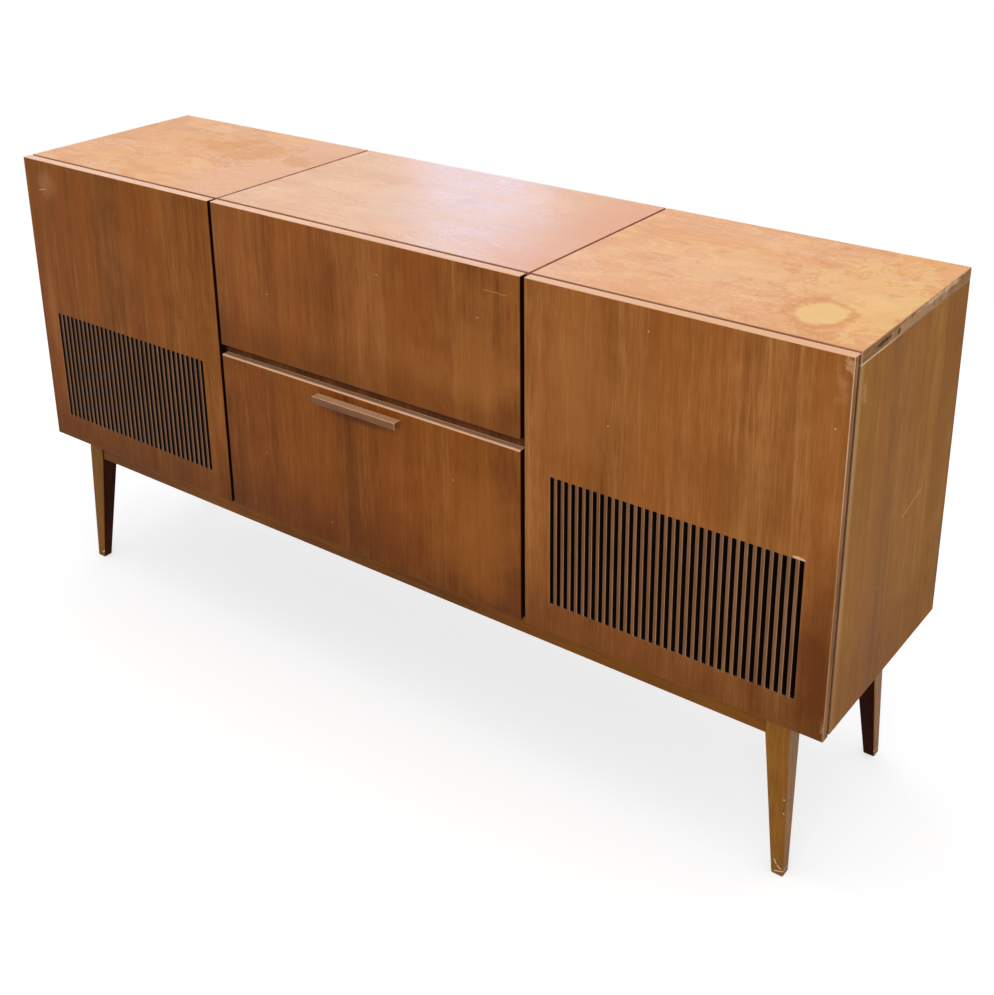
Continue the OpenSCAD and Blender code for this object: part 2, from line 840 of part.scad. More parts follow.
module right_lid_stay() {
  lid_stay(side_inner_x);
}

// Record player. The plate has bearings for the platter, the arm and the lever
corner_r = 12;
rest_y = arm_y - 0.72 * arm_l;

module deck_plate() {
  color("lightgray") difference() {
    union() {
      translate([deck_x, deck_y, deck_z]) linear_extrude(deck_t) union() {
        square([deck_w - 2 * corner_r, deck_d], center = true);
        square([deck_w, deck_d - 2 * corner_r], center = true);
        for (sx = [-1, 1], sy = [-1, 1])
          translate([sx * (deck_w / 2 - corner_r), sy * (deck_d / 2 - corner_r)])
            circle(r = corner_r);
      }
      translate([platter_x, platter_y, deck_z - hub_down]) cylinder(r = hub_tube_r, h = hub_down + 1);
      translate([arm_x, rest_y, deck_top_z - 1])
        cylinder(r = 4, h = arm_up - tube_r - 0.4 + 1);
    }
    translate([platter_x, platter_y, deck_z - hub_down + 2])
      cylinder(r = hub_r + running, h = hub_down + deck_t);
    translate([arm_x, arm_y, deck_z + 1]) cylinder(r = shaft_r + running, h = deck_t);
    translate([lever_x, lever_y, deck_z + 1]) cylinder(r = shaft_r + running, h = deck_t);
  }
}

module platter() {
  color("silver") translate([platter_x, platter_y, 0]) {
    translate([0, 0, platter_z]) rotate_extrude()
      polygon([[0, 0], [platter_r - 2, 0], [platter_r, 2], [platter_r, platter_t - 1],
        [platter_r - 1, platter_t], [0, platter_t]]);
    translate([0, 0, deck_z - hub_down + 2 + apart])
      cylinder(r = hub_r, h = platter_z - deck_z + hub_down - 1);
    translate([0, 0, mat_z - 1]) cylinder(r = spindle_r, h = mat_t + spindle_up + 1);
    translate([0, 0, mat_z + mat_t + spindle_up]) cylinder(r1 = spindle_r, r2 = 1.5, h = 3);
  }
}

module platter_mat() {
  color("black") translate([platter_x, platter_y, mat_z]) difference() {
    cylinder(r = platter_r - 2, h = mat_t);
    translate([0, 0, -1]) cylinder(r = spindle_r + 0.4, h = mat_t + 2);
  }
}

// The arm's turning column, with a yoke for its cross pin
module tonearm_pivot() {
  color("silver") translate([arm_x, arm_y, 0]) difference() {
    union() {
      translate([0, 0, deck_z + 1 + apart]) cylinder(r = shaft_r, h = deck_t);
      translate([0, 0, deck_top_z + apart]) cylinder(r = column_r, h = arm_up - 16);
      for (s = [-1, 1])
        block([s * (yoke_in + yoke_t / 2) - yoke_t / 2, -6, deck_top_z + 10],
          [s * (yoke_in + yoke_t / 2) + yoke_t / 2, 6, arm_z + 6]);
    }
    across([-column_r, 0, arm_z], arm_pin_r + running, 2 * column_r);
  }
}

head_l = 38;
head_w = 21;
head_h = 8;
cartridge_h = 12;
weight_r = 12;
weight_l = 26;

module tonearm() {
  color("gainsboro") translate([arm_x, arm_y, arm_z]) {
    across([-yoke_in - yoke_t + 0.5, 0, 0], arm_pin_r, 2 * (yoke_in + yoke_t) - 1);
    block([0.5 - yoke_in, -7, -6], [yoke_in - 0.5, 9, 6]);
    translate([0, -arm_l + head_l / 2, 0]) rotate([-90, 0, 0])
      cylinder(r = tube_r, h = arm_l - head_l / 2);
    backward([0, 8, 0], 3, 10);
    backward([0, 14, 0], weight_r, weight_l);
    block([-head_w / 2, -arm_l - head_l / 2, -head_h / 2],
      [head_w / 2, -arm_l + head_l / 2, head_h / 2]);
    block([-head_w / 3, -arm_l - head_l / 3, -head_h / 2 - cartridge_h],
      [head_w / 3, -arm_l + head_l / 3, 1 - head_h / 2]);
  }
}

module speed_lever() {
  color("ivory") translate([lever_x, lever_y, 0]) {
    translate([0, 0, deck_z + 1 + apart]) cylinder(r = shaft_r, h = deck_t);
    translate([0, 0, deck_top_z + apart]) cylinder(r = 11, h = 9);
    block([-4, -26, deck_top_z + 3], [4, 0, deck_top_z + 8]);
  }
}

module deck_motor() {
  color("dimgray") translate([motor_x, motor_y, deck_z - motor_h]) cylinder(r = motor_r, h = motor_h);
}

// Radio. The face plate lies on the deck board, with the chassis under it
module knob_hole(x, y) {
  translate([x, y, deck_z - 1]) cylinder(r = shaft_r + running, h = fascia_t + 2);
}

module button_hole(x) {
  block([x - button_w / 2 - apart, button_y - button_d / 2 - apart, deck_z - 1],
    [x + button_w / 2 + apart, button_y + button_d / 2 + apart, fascia_z + 1]);
}

module radio_fascia() {
  color("darkgoldenrod") difference() {
    block([radio_x - fascia_w / 2, radio_y - fascia_d / 2, deck_z],
      [radio_x + fascia_w / 2, radio_y + fascia_d / 2, fascia_z]);
    for (i = [-1 : 1]) {
      knob_hole(radio_x + i * knob_apart, knob_y);
      button_hole(radio_x + i * button_apart);
    }
    block([radio_x - dial_w / 2, dial_y - dial_d / 2, fascia_z - dial_sunk],
      [radio_x + dial_w / 2, dial_y + dial_d / 2, fascia_z + 1]);
    block([radio_x - pointer_reach - stem_r - 1, dial_y - stem_r - apart, deck_z - 1],
      [radio_x + pointer_reach + stem_r + 1, dial_y + stem_r + apart, fascia_z]);
  }
}

module radio_chassis() {
  x = fascia_w / 2 - radio_lip - chassis_gap;
  y = fascia_d / 2 - radio_lip - chassis_gap;
  color("silver") difference() {
    block([radio_x - x, radio_y - y, deck_z - chassis_h], [radio_x + x, radio_y + y, deck_z]);
    block([radio_x - x + sheet_t, radio_y - y + sheet_t, deck_z - chassis_h + sheet_t],
      [radio_x + x - sheet_t, radio_y + y - sheet_t, deck_z + 1]);
  }
}

// Clear cover over the sunk dial
module dial_glass() {
  color("lightblue") block([radio_x - dial_w / 2 - glass_lap, dial_y - dial_d / 2 - glass_lap,
    fascia_z], [radio_x + dial_w / 2 + glass_lap, dial_y + dial_d / 2 + glass_lap,
    fascia_z + glass_t]);
}

module dial_pointer() {
  color("red") translate([radio_x, dial_y, 0]) {
    block([-0.8, 5 - dial_d / 2, fascia_z - dial_sunk + apart],
      [0.8, dial_d / 2 - 5, fascia_z - apart]);
    translate([0, 0, deck_z - 2]) cylinder(r = stem_r, h = fascia_t + 1);
    block([-7, -5, deck_z - 8], [7, 5, deck_z - apart - 0.2]);
  }
}

// A knob with a wide skirt and a narrower grip, on its shaft
module knob(x, r) {
  color("ivory") translate([x, knob_y, fascia_z + apart]) {
    rotate_extrude()
      polygon([[0, 0], [r, 0], [r, 2.5], [r * 0.82, 4.5], [r * 0.78, knob_h - 1],
        [r * 0.78 - 1, knob_h], [0, knob_h]]);
    translate([0, 0, -shaft_down]) cylinder(r = shaft_r, h = shaft_down + 1);
  }
}

module tuning_knob() {
  knob(radio_x + knob_apart, tuning_r);
}

module volume_knob() {
  knob(radio_x - knob_apart, small_knob_r);
}

module tone_knob() {
  knob(radio_x, small_knob_r);
}

module push_button(i) {
  x = radio_x + i * button_apart;
  color("ivory") block([x - button_w / 2, button_y - button_d / 2, deck_z - 8],
    [x + button_w / 2, button_y + button_d / 2, fascia_z + button_travel + 3]);
}

module first_button() {
  push_button(-1);
}

module second_button() {
  push_button(0);
}

module third_button() {
  push_button(1);
}

left_side_panel();
right_side_panel();
bottom_panel();
partitions();
record_dividers();
record_shelf();
deck_board();
well_floors();
front_top_rail();
rear_top_rail();
back_panel();
packing_strips();
left_front_panel();
right_front_panel();
upper_front_panel();
front_rail();
rear_rail();
cross_rails();
front_left_leg();
front_right_leg();
back_left_leg();
back_right_leg();
baffles();
dial_glass();
speaker_cloths();
woofer_frames();
woofer_cones();
tweeters();
fixed_hinge_leaves();
stay_studs();
flap_catch();
flap_door();
flap_pull();
flap_fittings();
flap_stay();
left_lid();
centre_lid();
right_lid();
left_lid_fittings();
centre_lid_fittings();
right_lid_fittings();
left_lid_stay();
centre_lid_stay();
right_lid_stay();
deck_plate();
platter();
platter_mat();
tonearm_pivot();
tonearm();
speed_lever();
deck_motor();
radio_fascia();
radio_chassis();
dial_pointer();
tuning_knob();
volume_knob();
tone_knob();
first_button();
second_button();
third_button();
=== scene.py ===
"""Record player cabinet: worn veneered boards, leg frame, fittings, player and radio.

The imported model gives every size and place. The boards that show get softened arrises, lippings and
veneer; the inner pieces keep their own shapes and get their finishes. Lengths are in metres.
"""

import logging
import math
import random
from dataclasses import dataclass
from enum import Enum
from functools import cache
from typing import Callable, Sequence

import bmesh
import bpy
from mathutils import Matrix, Vector


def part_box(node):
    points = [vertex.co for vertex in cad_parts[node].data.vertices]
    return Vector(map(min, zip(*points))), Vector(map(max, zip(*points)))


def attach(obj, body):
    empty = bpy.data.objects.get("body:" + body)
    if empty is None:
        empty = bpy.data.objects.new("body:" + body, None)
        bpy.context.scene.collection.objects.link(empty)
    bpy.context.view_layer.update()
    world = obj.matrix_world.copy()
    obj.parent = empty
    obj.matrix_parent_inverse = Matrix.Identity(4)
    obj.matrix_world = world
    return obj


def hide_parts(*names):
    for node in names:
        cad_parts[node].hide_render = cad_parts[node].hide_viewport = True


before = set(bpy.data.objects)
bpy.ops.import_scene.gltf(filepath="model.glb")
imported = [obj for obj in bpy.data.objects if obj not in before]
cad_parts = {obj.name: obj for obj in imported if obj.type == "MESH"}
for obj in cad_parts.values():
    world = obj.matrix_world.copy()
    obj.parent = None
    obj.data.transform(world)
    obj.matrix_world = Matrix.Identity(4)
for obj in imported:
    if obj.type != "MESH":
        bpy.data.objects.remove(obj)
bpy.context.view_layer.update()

LOG = logging.getLogger("record_player_cabinet")
MM = 0.001
Socket = bpy.types.NodeSocket
Material = bpy.types.Material
Geometry = bmesh.types.BMesh
Chooser = Callable[[Vector, Vector], int]
Colour = tuple[float, float, float, float]
Shade = tuple[int, int, int]
Point = tuple[float, float, float]
Profile = Sequence[tuple[float, float]]
ORIGIN: Point = (0.0, 0.0, 0.0)
# Least part of a face's normal that makes the face square to a direction, lean towards it, or barely so.
SQUARE, LEANING, BARELY = 0.98, 0.2, 0.15


def paint(red: int, green: int, blue: int) -> Colour:
    """Turn a colour as seen on a screen into the linear colour that a shader takes.

    Args:
        red: Red from 0 to 255.
        green: Green from 0 to 255.
        blue: Blue from 0 to 255.

    Returns:
        The linear red, green and blue, and an alpha of 1.
    """
    linear = [((c / 255 + 0.055) / 1.055) ** 2.4 if c > 10 else c / 255 / 12.92 for c in (red, green, blue)]
    return (linear[0], linear[1], linear[2], 1.0)


class Axis(Enum):
    """The directions of the cabinet: along it, from front to back, and up."""

    ALONG = 0
    DEEP = 1
    UP = 2


class Graph:
    """The node tree of one material, filled step by step."""

    def __init__(self, name: str) -> None:
        """Start a material with one principled shader.

        Args:
            name: Name of the finish.
        """
        self.material = bpy.data.materials.new(name)
        self.material.use_nodes = True
        self.tree = self.material.node_tree
        self.shader = self.tree.nodes["Principled BSDF"]
        self.place = self.add("ShaderNodeTexCoord").outputs["Object"]

    def add(self, kind: str, **settings: object) -> bpy.types.Node:
        """Add a node and set its plain properties.

        Args:
            kind: Blender's name of the node type.
            settings: Properties of the node and their values.

        Returns:
            The new node.
        """
        node = self.tree.nodes.new(kind)
        for key, value in settings.items():
            setattr(node, key, value)
        return node

    def feed(self, socket: Socket, value: object) -> None:
        """Give a socket a link, a number or a colour.

        Args:
            socket: The input to fill.
            value: Another node's output, or a plain value.
        """
        if isinstance(value, Socket):
            self.tree.links.new(value, socket)
        elif value is not None:
            socket.default_value = value

    def stretched(self, scale: Point | float, shift: Point = ORIGIN, turn: Point = ORIGIN) -> Socket:
        """Give the place on the board, scaled along each direction.

        Args:
            scale: Repeats per metre, along each direction or the same every way.
            shift: Shift of the pattern, after scaling.
            turn: Turn of the pattern about each direction, in radians.

        Returns:
            The changed place.
        """
        node = self.add("ShaderNodeMapping")
        self.feed(node.inputs["Vector"], self.place)
        node.inputs["Scale"].default_value = scale if isinstance(scale, tuple) else (scale,) * 3
        node.inputs["Location"].default_value = shift
        node.inputs["Rotation"].default_value = turn
        return node.outputs["Vector"]

    def noise(self, place: Socket, detail: float = 2.0, rough: float = 0.5, warp: float = 0.0) -> Socket:
        """Give soft noise from 0 to 1.

        Args:
            place: Where the noise is read.
            detail: Number of finer layers.
            rough: Strength of the finer layers.
            warp: How far the noise is bent by itself.

        Returns:
            The noise.
        """
        node = self.add("ShaderNodeTexNoise")
        self.feed(node.inputs["Vector"], place)
        node.inputs["Scale"].default_value = 1.0
        node.inputs["Detail"].default_value = detail
        node.inputs["Roughness"].default_value = rough
        node.inputs["Distortion"].default_value = warp
        return node.outputs["Fac"]

    def sum(self, operation: str, a: object, b: object = None, c: object = None) -> Socket:
        """Do one sum.

        Args:
            operation: Blender's name of the sum.
            a: First number.
            b: Second number.
            c: Third number.

        Returns:
            The result.
        """
        node = self.add("ShaderNodeMath", operation=operation)
        for socket, value in zip(node.inputs, (a, b, c)):
            self.feed(socket, value)
        return node.outputs[0]

    def step(self, value: object, low: float, high: float, to_low: float = 0.0,
             to_high: float = 1.0) -> Socket:
        """Ease smoothly from one number to another.

        Args:
            value: The number that is eased.
            low: Where the change starts.
            high: Where the change ends.
            to_low: Result before the change.
            to_high: Result after the change.

        Returns:
            The eased number.
        """
        node = self.add("ShaderNodeMapRange", interpolation_type="SMOOTHSTEP", clamp=True)
        for key, number in (("Value", value), ("From Min", low), ("From Max", high), ("To Min", to_low),
                            ("To Max", to_high)):
            self.feed(node.inputs[key], number)
        return node.outputs["Result"]

    def mix(self, share: object, a: object, b: object) -> Socket:
        """Mix two colours.

        Args:
            share: Share of the second colour.
            a: First colour.
            b: Second colour.

        Returns:
            The mixed colour.
        """
        node = self.add("ShaderNodeMix", data_type="RGBA", clamp_factor=True)
        self.feed(node.inputs[0], share)
        self.feed(node.inputs[6], a)
        self.feed(node.inputs[7], b)
        return node.outputs[2]

    def ramp(self, value: Socket, stops: Sequence[tuple[float, Colour]]) -> Socket:
        """Turn a number into a colour along a row of stops.

        Args:
            value: Number from 0 to 1.
            stops: Places and colours.

        Returns:
            The colour.
        """
        node = self.add("ShaderNodeValToRGB")
        elements = node.color_ramp.elements
        while len(elements) < len(stops):
            elements.new(0.5)
        for element, (spot, colour) in zip(elements, stops):
            element.position = spot
            element.color = colour
        self.feed(node.inputs[0], value)
        return node.outputs[0]

    def split(self) -> tuple[Socket, Socket, Socket]:
        """Give the three parts of the place on the board."""
        node = self.add("ShaderNodeSeparateXYZ")
        self.feed(node.inputs[0], self.place)
        return node.outputs[0], node.outputs[1], node.outputs[2]

    def bump(self, height: Socket, depth: float, strength: float = 1.0) -> None:
        """Raise the surface by a height pattern.

        Args:
            height: Pattern from 0 to 1.
            depth: Height of the pattern in metres.
            strength: How strongly it shows.
        """
        node = self.add("ShaderNodeBump")
        node.inputs["Strength"].default_value = strength
        node.inputs["Distance"].default_value = depth
        self.feed(node.inputs["Height"], height)
        self.feed(self.shader.inputs["Normal"], node.outputs["Normal"])

    def finish(self, colour: object, rough: object, **sockets: float) -> Material:
        """Set the shader's inputs.

        Args:
            colour: Base colour, linked or plain.
            rough: Roughness, linked or plain.
            sockets: Other inputs of the shader, with underscores for spaces.

        Returns:
            The material.
        """
        self.feed(self.shader.inputs["Base Color"], colour)
        self.feed(self.shader.inputs["Roughness"], rough)
        for key, value in sockets.items():
            self.shader.inputs[key.replace("_", " ")].default_value = value
        return self.material

@dataclass(frozen=True)
class Patch:
    """A worn or stained place on a board; some patches are painted shadow and painted reflection.

    Attributes:
        centre: Middle of the patch.
        reach: Half its size along each direction.
        colour: Colour of the patch.
        strength: How much of that colour shows.
        ragged: How broken its outline is.
        fine: Repeats per metre of the breaks.
        soft: Width of its fading rim, as a share of its size.
        hollow: Whether only its rim shows.
    """

    centre: Point
    reach: Point
    colour: Colour
    strength: float = 0.6
    ragged: float = 0.5
    fine: float = 30.0
    soft: float = 0.4
    hollow: bool = False

    def mask(self, graph: Graph) -> Socket:
        """Give where the patch shows.

        Args:
            graph: The material that the patch is on.

        Returns:
            The patch's share from 0 to 1.
        """
        scale = tuple(1.0 / r for r in self.reach)
        shift = tuple(-c / r for c, r in zip(self.centre, self.reach))
        length = graph.add("ShaderNodeVectorMath", operation="LENGTH")
        graph.feed(length.inputs[0], graph.stretched(scale, shift))
        breaks = graph.noise(graph.stretched(self.fine, self.centre), detail=3.0, rough=0.6, warp=0.4)
        off = graph.sum("MULTIPLY", graph.sum("SUBTRACT", breaks, 0.5), self.ragged * 3.0)
        away = graph.sum("ADD", off, length.outputs["Value"])
        if self.hollow:
            rim = graph.sum("ABSOLUTE", graph.sum("SUBTRACT", away, 0.9))
            return graph.step(rim, 0.0, self.soft, self.strength, 0.0)
        return graph.step(away, 1.0 - self.soft, 1.0, self.strength, 0.0)


@dataclass(frozen=True)
class Scratch:
    """A scratch on a board, straight but for a little wander.

    Attributes:
        start: One end.
        end: Other end.
        flat: Direction square to the board.
        colour: Colour of the bared wood.
        width: Width of the scratch.
        strength: How much of it shows.
        wander: How far it strays from the straight line.
    """

    start: Point
    end: Point
    flat: Axis
    colour: Colour
    width: float = 1.1 * MM
    strength: float = 0.7
    wander: float = 6 * MM

    def mask(self, graph: Graph) -> Socket:
        """Give where the scratch shows.

        Args:
            graph: The material that the scratch is on.

        Returns:
            The scratch's share from 0 to 1.
        """
        start, end = Vector(self.start), Vector(self.end)
        run = (end - start).normalized()
        normal = Vector((0.0, 0.0, 0.0))
        normal[self.flat.value] = 1.0
        side = normal.cross(run)

        def along(direction: Vector, offset: float) -> Socket:
            """Give the distance of the place along a direction, less an offset."""
            dot = graph.add("ShaderNodeVectorMath", operation="DOT_PRODUCT")
            graph.feed(dot.inputs[0], graph.place)
            dot.inputs[1].default_value = direction
            return graph.sum("SUBTRACT", dot.outputs["Value"], offset)

        length = (end - start).length
        middle = (start + end) / 2
        stray = graph.noise(graph.stretched(35.0), detail=1.0)
        drift = graph.sum("MULTIPLY", graph.sum("SUBTRACT", stray, 0.5), self.wander)
        across = graph.sum("ABSOLUTE", graph.sum("ADD", along(side, middle.dot(side)), drift))
        down = graph.sum("ABSOLUTE", along(run, middle.dot(run)))
        line = graph.step(across, self.width * 0.3, self.width, self.strength, 0.0)
        return graph.sum("MULTIPLY", line, graph.step(down, length * 0.35, length * 0.5, 1.0, 0.0))


@dataclass(frozen=True)
class Specks:
    """Tiny knocks that bare the pale wood.

    Attributes:
        places: Where they are.
        colour: Colour of the bared wood.
        radius: Their radius.
        strength: How much of it shows.
    """

    places: tuple[Point, ...]
    colour: Colour
    radius: float = 1.8 * MM
    strength: float = 0.6

    def mask(self, graph: Graph) -> Socket:
        """Give where the specks show.

        Args:
            graph: The material that they are on.

        Returns:
            Their share from 0 to 1.
        """
        nearest = None
        for place in self.places:
            away = graph.add("ShaderNodeVectorMath", operation="DISTANCE")
            graph.feed(away.inputs[0], graph.place)
            away.inputs[1].default_value = place
            reach = away.outputs["Value"]
            nearest = reach if nearest is None else graph.sum("MINIMUM", nearest, reach)
        return graph.step(nearest, self.radius * 0.4, self.radius, self.strength, 0.0)


@dataclass(frozen=True)
class Wash:
    """A soft change of colour along one direction of a board.

    Attributes:
        axis: The direction.
        start: Where the colour is full.
        end: Where it has faded away.
        colour: The colour.
        strength: How much of it shows at its fullest.
        uneven: How cloudy it is.
    """

    axis: Axis
    start: float
    end: float
    colour: Colour
    strength: float = 0.4
    uneven: float = 0.5

    def mask(self, graph: Graph) -> Socket:
        """Give where the wash shows.

        Args:
            graph: The material that it is on.

        Returns:
            Its share from 0 to 1.
        """
        fade = graph.step(graph.split()[self.axis.value], self.start, self.end, self.strength, 0.0)
        cloud = graph.noise(graph.stretched(9.0), detail=3.0, rough=0.6, warp=0.5)
        share = graph.step(cloud, 0.35, 0.65, 1.0 - self.uneven, 1.0)
        return graph.sum("MULTIPLY", fade, share)


Marks = tuple[Patch | Scratch | Specks | Wash, ...]


@dataclass(frozen=True)
class Veneer:
    """Varnished veneer with its figure, streaks, pores and wear.

    Attributes:
        name: Name of the finish.
        grain: Direction of the grain.
        dark: Colour of the darkest streaks.
        middle: Main colour.
        light: Colour of the palest streaks.
        warm: Colour of the redder bands.
        seed: Shift of the pattern, so that boards differ.
        contrast: Strength of the whole figure.
        swirl: How far the figure is bent.
        rough: Mean roughness of the varnish.
        gloss: Strength of the varnish's reflection.
        clouds: Strength of the cloudy fading.
        cloud_colour: Colour of that fading.
        cloud_size: Repeats per metre of the clouds.
        curls: Strength of the thin pale curling lines.
        curl_colour: Colour of those lines.
        scuffs: Strength of the fine random scratches.
        marks: Worn places, stains, scratches and washes; some are painted shade, shadow and reflection.
    """

    name: str
    grain: Axis
    dark: Colour
    middle: Colour
    light: Colour
    warm: Colour | None = None
    seed: float = 0.0
    contrast: float = 1.0
    swirl: float = 0.5
    rough: float = 0.5
    gloss: float = 0.2
    clouds: float = 0.0
    cloud_colour: Colour = (0.6, 0.4, 0.2, 1.0)
    cloud_size: float = 9.0
    curls: float = 0.0
    curl_colour: Colour = (0.9, 0.7, 0.5, 1.0)
    scuffs: float = 0.15
    marks: Marks = ()

    def spread(self, across: float, along: float) -> Point:
        """Give repeats per metre across and along the grain, for each direction."""
        return tuple(along if axis is self.grain else across for axis in Axis)

    def figure(self, g: Graph, shift: Point) -> tuple[Socket, Socket, Socket]:
        """Make the figure of the wood, from broad bands down to single fibres.

        Args:
            g: The material.
            shift: Shift of the pattern.

        Returns:
            The tone from 0 to 1, the broad bands and the fibres.
        """
        broad = g.noise(g.stretched(self.spread(6.5, 0.9), shift), detail=2.0, warp=self.swirl)
        bands = g.noise(g.stretched(self.spread(24.0, 1.3), shift), detail=3.0, rough=0.6,
                        warp=self.swirl * 0.4)
        streaks = g.noise(g.stretched(self.spread(105.0, 4.5), shift), detail=3.0, rough=0.6, warp=0.3)
        fibres = g.noise(g.stretched(self.spread(420.0, 20.0), shift), detail=2.0, rough=0.65)
        mottle = g.noise(g.stretched(16.0, shift), detail=4.0, rough=0.6)
        tone = None
        for part, weight in ((broad, 0.6), (bands, 0.6), (streaks, 0.6), (fibres, 0.6), (mottle, 0.35)):
            swing = g.sum("MULTIPLY", g.sum("SUBTRACT", part, 0.5), weight * self.contrast)
            tone = g.sum("ADD", swing, 0.5 if tone is None else tone)
        return tone, broad, fibres

    def build(self) -> Material:
        """Make the material.

        Returns:
            The veneer's material.
        """
        g = Graph(self.name)
        shift = (self.seed * 3.1, self.seed * 1.7, self.seed * 2.3)
        tone, broad, fibres = self.figure(g, shift)
        colour = g.ramp(tone, ((0.15, self.dark), (0.5, self.middle), (0.85, self.light)))
        if self.warm is not None:
            drift = g.noise(g.stretched(self.spread(12.0, 0.7), (shift[1], shift[2], shift[0])), detail=2.0)
            colour = g.mix(g.step(drift, 0.42, 0.66, 0.0, 0.45), colour, self.warm)
        pores = g.noise(g.stretched(self.spread(800.0, 30.0), shift), detail=1.0)
        colour = g.mix(g.step(pores, 0.28, 0.40, 0.35, 0.0), colour, self.dark)
        rough = g.sum("MULTIPLY_ADD", broad, 0.14, self.rough - 0.07)
        if self.clouds > 0.0:
            colour, rough = self.clouded(g, colour, rough, shift)
        if self.curls > 0.0:
            colour = g.mix(self.curled(g, shift), colour, self.curl_colour)
        if self.scuffs > 0.0:
            colour, rough = self.scuffed(g, colour, rough, shift)
        for mark in self.marks:
            mask = mark.mask(g)
            colour = g.mix(mask, colour, mark.colour)
            rough = g.sum("MULTIPLY_ADD", mask, 0.12, rough)
        relief = g.sum("MULTIPLY_ADD", fibres, 0.5, g.sum("MULTIPLY", pores, 0.5))
        g.bump(relief, 0.0001, 0.3)
        return g.finish(colour, rough, Specular_IOR_Level=self.gloss)

    def clouded(self, g: Graph, colour: Socket, rough: Socket, shift: Point) -> tuple[Socket, Socket]:
        """Add the cloudy fading of the varnish.

        Args:
            g: The material.
            colour: Colour so far.
            rough: Roughness so far.
            shift: Shift of the pattern.

        Returns:
            The new colour and roughness.
        """
        spread = self.spread(self.cloud_size, self.cloud_size * 0.5)
        cloud = g.noise(g.stretched(spread, shift), detail=5.0, rough=0.62, warp=1.0)
        faded = g.step(cloud, 0.44, 0.66, 0.0, self.clouds)
        deeper = g.step(cloud, 0.42, 0.26, 0.0, self.clouds * 0.7)
        colour = g.mix(deeper, g.mix(faded, colour, self.cloud_colour), self.dark)
        return colour, g.sum("MULTIPLY_ADD", faded, 0.15, rough)

    def curled(self, g: Graph, shift: Point) -> Socket:
        """Give thin curling lines, as crazed varnish and old water leave them.

        Args:
            g: The material.
            shift: Shift of the pattern.

        Returns:
            Their share from 0 to 1.
        """
        total = None
        for size, width in ((11.0, 0.012), (26.0, 0.018), (60.0, 0.026)):
            spread = self.spread(size, size * 0.55)
            swell = g.noise(g.stretched(spread, (shift[2], shift[0], shift[1])), detail=2.5, rough=0.55,
                            warp=1.4)
            ridge = g.sum("ABSOLUTE", g.sum("SUBTRACT", swell, 0.5))
            line = g.step(ridge, width * 0.2, width, self.curls, 0.0)
            total = line if total is None else g.sum("MAXIMUM", total, line)
        where = g.step(g.noise(g.stretched(6.0, shift), detail=2.0), 0.40, 0.56)
        return g.sum("MULTIPLY", total, where)

    def scuffed(self, g: Graph, colour: Socket, rough: Socket, shift: Point) -> tuple[Socket, Socket]:
        """Add fine random scratches that lie at odd angles.

        Args:
            g: The material.
            colour: Colour so far.
            rough: Roughness so far.
            shift: Shift of the pattern.

        Returns:
            The new colour and roughness.
        """
        total = None
        for number, angle in enumerate((0.5, -0.9, 1.7)):
            turn = tuple(angle if axis.value == (self.grain.value + 1) % 3 else angle * 0.7 for axis in Axis)
            thin = tuple(240.0 if axis.value == number % 3 else 9.0 for axis in Axis)
            lines = g.step(g.noise(g.stretched(thin, shift, turn), detail=0.0), 0.82, 0.88)
            total = lines if total is None else g.sum("MAXIMUM", total, lines)
        where = g.step(g.noise(g.stretched(4.0, shift), detail=2.0), 0.5, 0.65)
        mask = g.sum("MULTIPLY", g.sum("MULTIPLY", total, where), self.scuffs)
        return g.mix(mask, colour, self.light), g.sum("MULTIPLY_ADD", mask, 0.2, rough)


@dataclass(frozen=True)
class Board:
    """Plain unvarnished or painted board.

    Attributes:
        name: Name of the finish.
        grain: Direction of the grain.
        dark: Darker colour.
        light: Lighter colour.
        rough: Roughness.
        speckle: Strength of fine specks, as on hardboard.
    """

    name: str
    grain: Axis
    dark: Colour
    light: Colour
    rough: float = 0.7
    speckle: float = 0.0

    def build(self) -> Material:
        """Make the board's material."""
        g = Graph(self.name)
        spread = tuple(4.0 if axis is self.grain else 60.0 for axis in Axis)
        lines = g.noise(g.stretched(spread), detail=4.0, rough=0.6, warp=0.4)
        clouds = g.noise(g.stretched(5.0), detail=3.0)
        tone = g.step(g.sum("ADD", g.sum("MULTIPLY", lines, 0.65), g.sum("MULTIPLY", clouds, 0.35)), 0.3,
                      0.7)
        colour = g.mix(tone, self.dark, self.light)
        specks = g.noise(g.stretched(700.0), detail=2.0)
        if self.speckle > 0.0:
            colour = g.mix(g.step(specks, 0.55, 0.62, 0.0, self.speckle), colour, self.dark)
        g.bump(g.sum("MULTIPLY_ADD", lines, 0.6, g.sum("MULTIPLY", specks, 0.4)), 0.0002, 0.4)
        rough = g.sum("MULTIPLY_ADD", clouds, 0.12, self.rough - 0.06)
        return g.finish(colour, rough, Specular_IOR_Level=0.15)


class Working(Enum):
    """How a metal piece was worked."""

    BRUSHED = "brushed"
    TURNED = "turned"
    POLISHED = "polished"
    ENAMELLED = "enamelled"


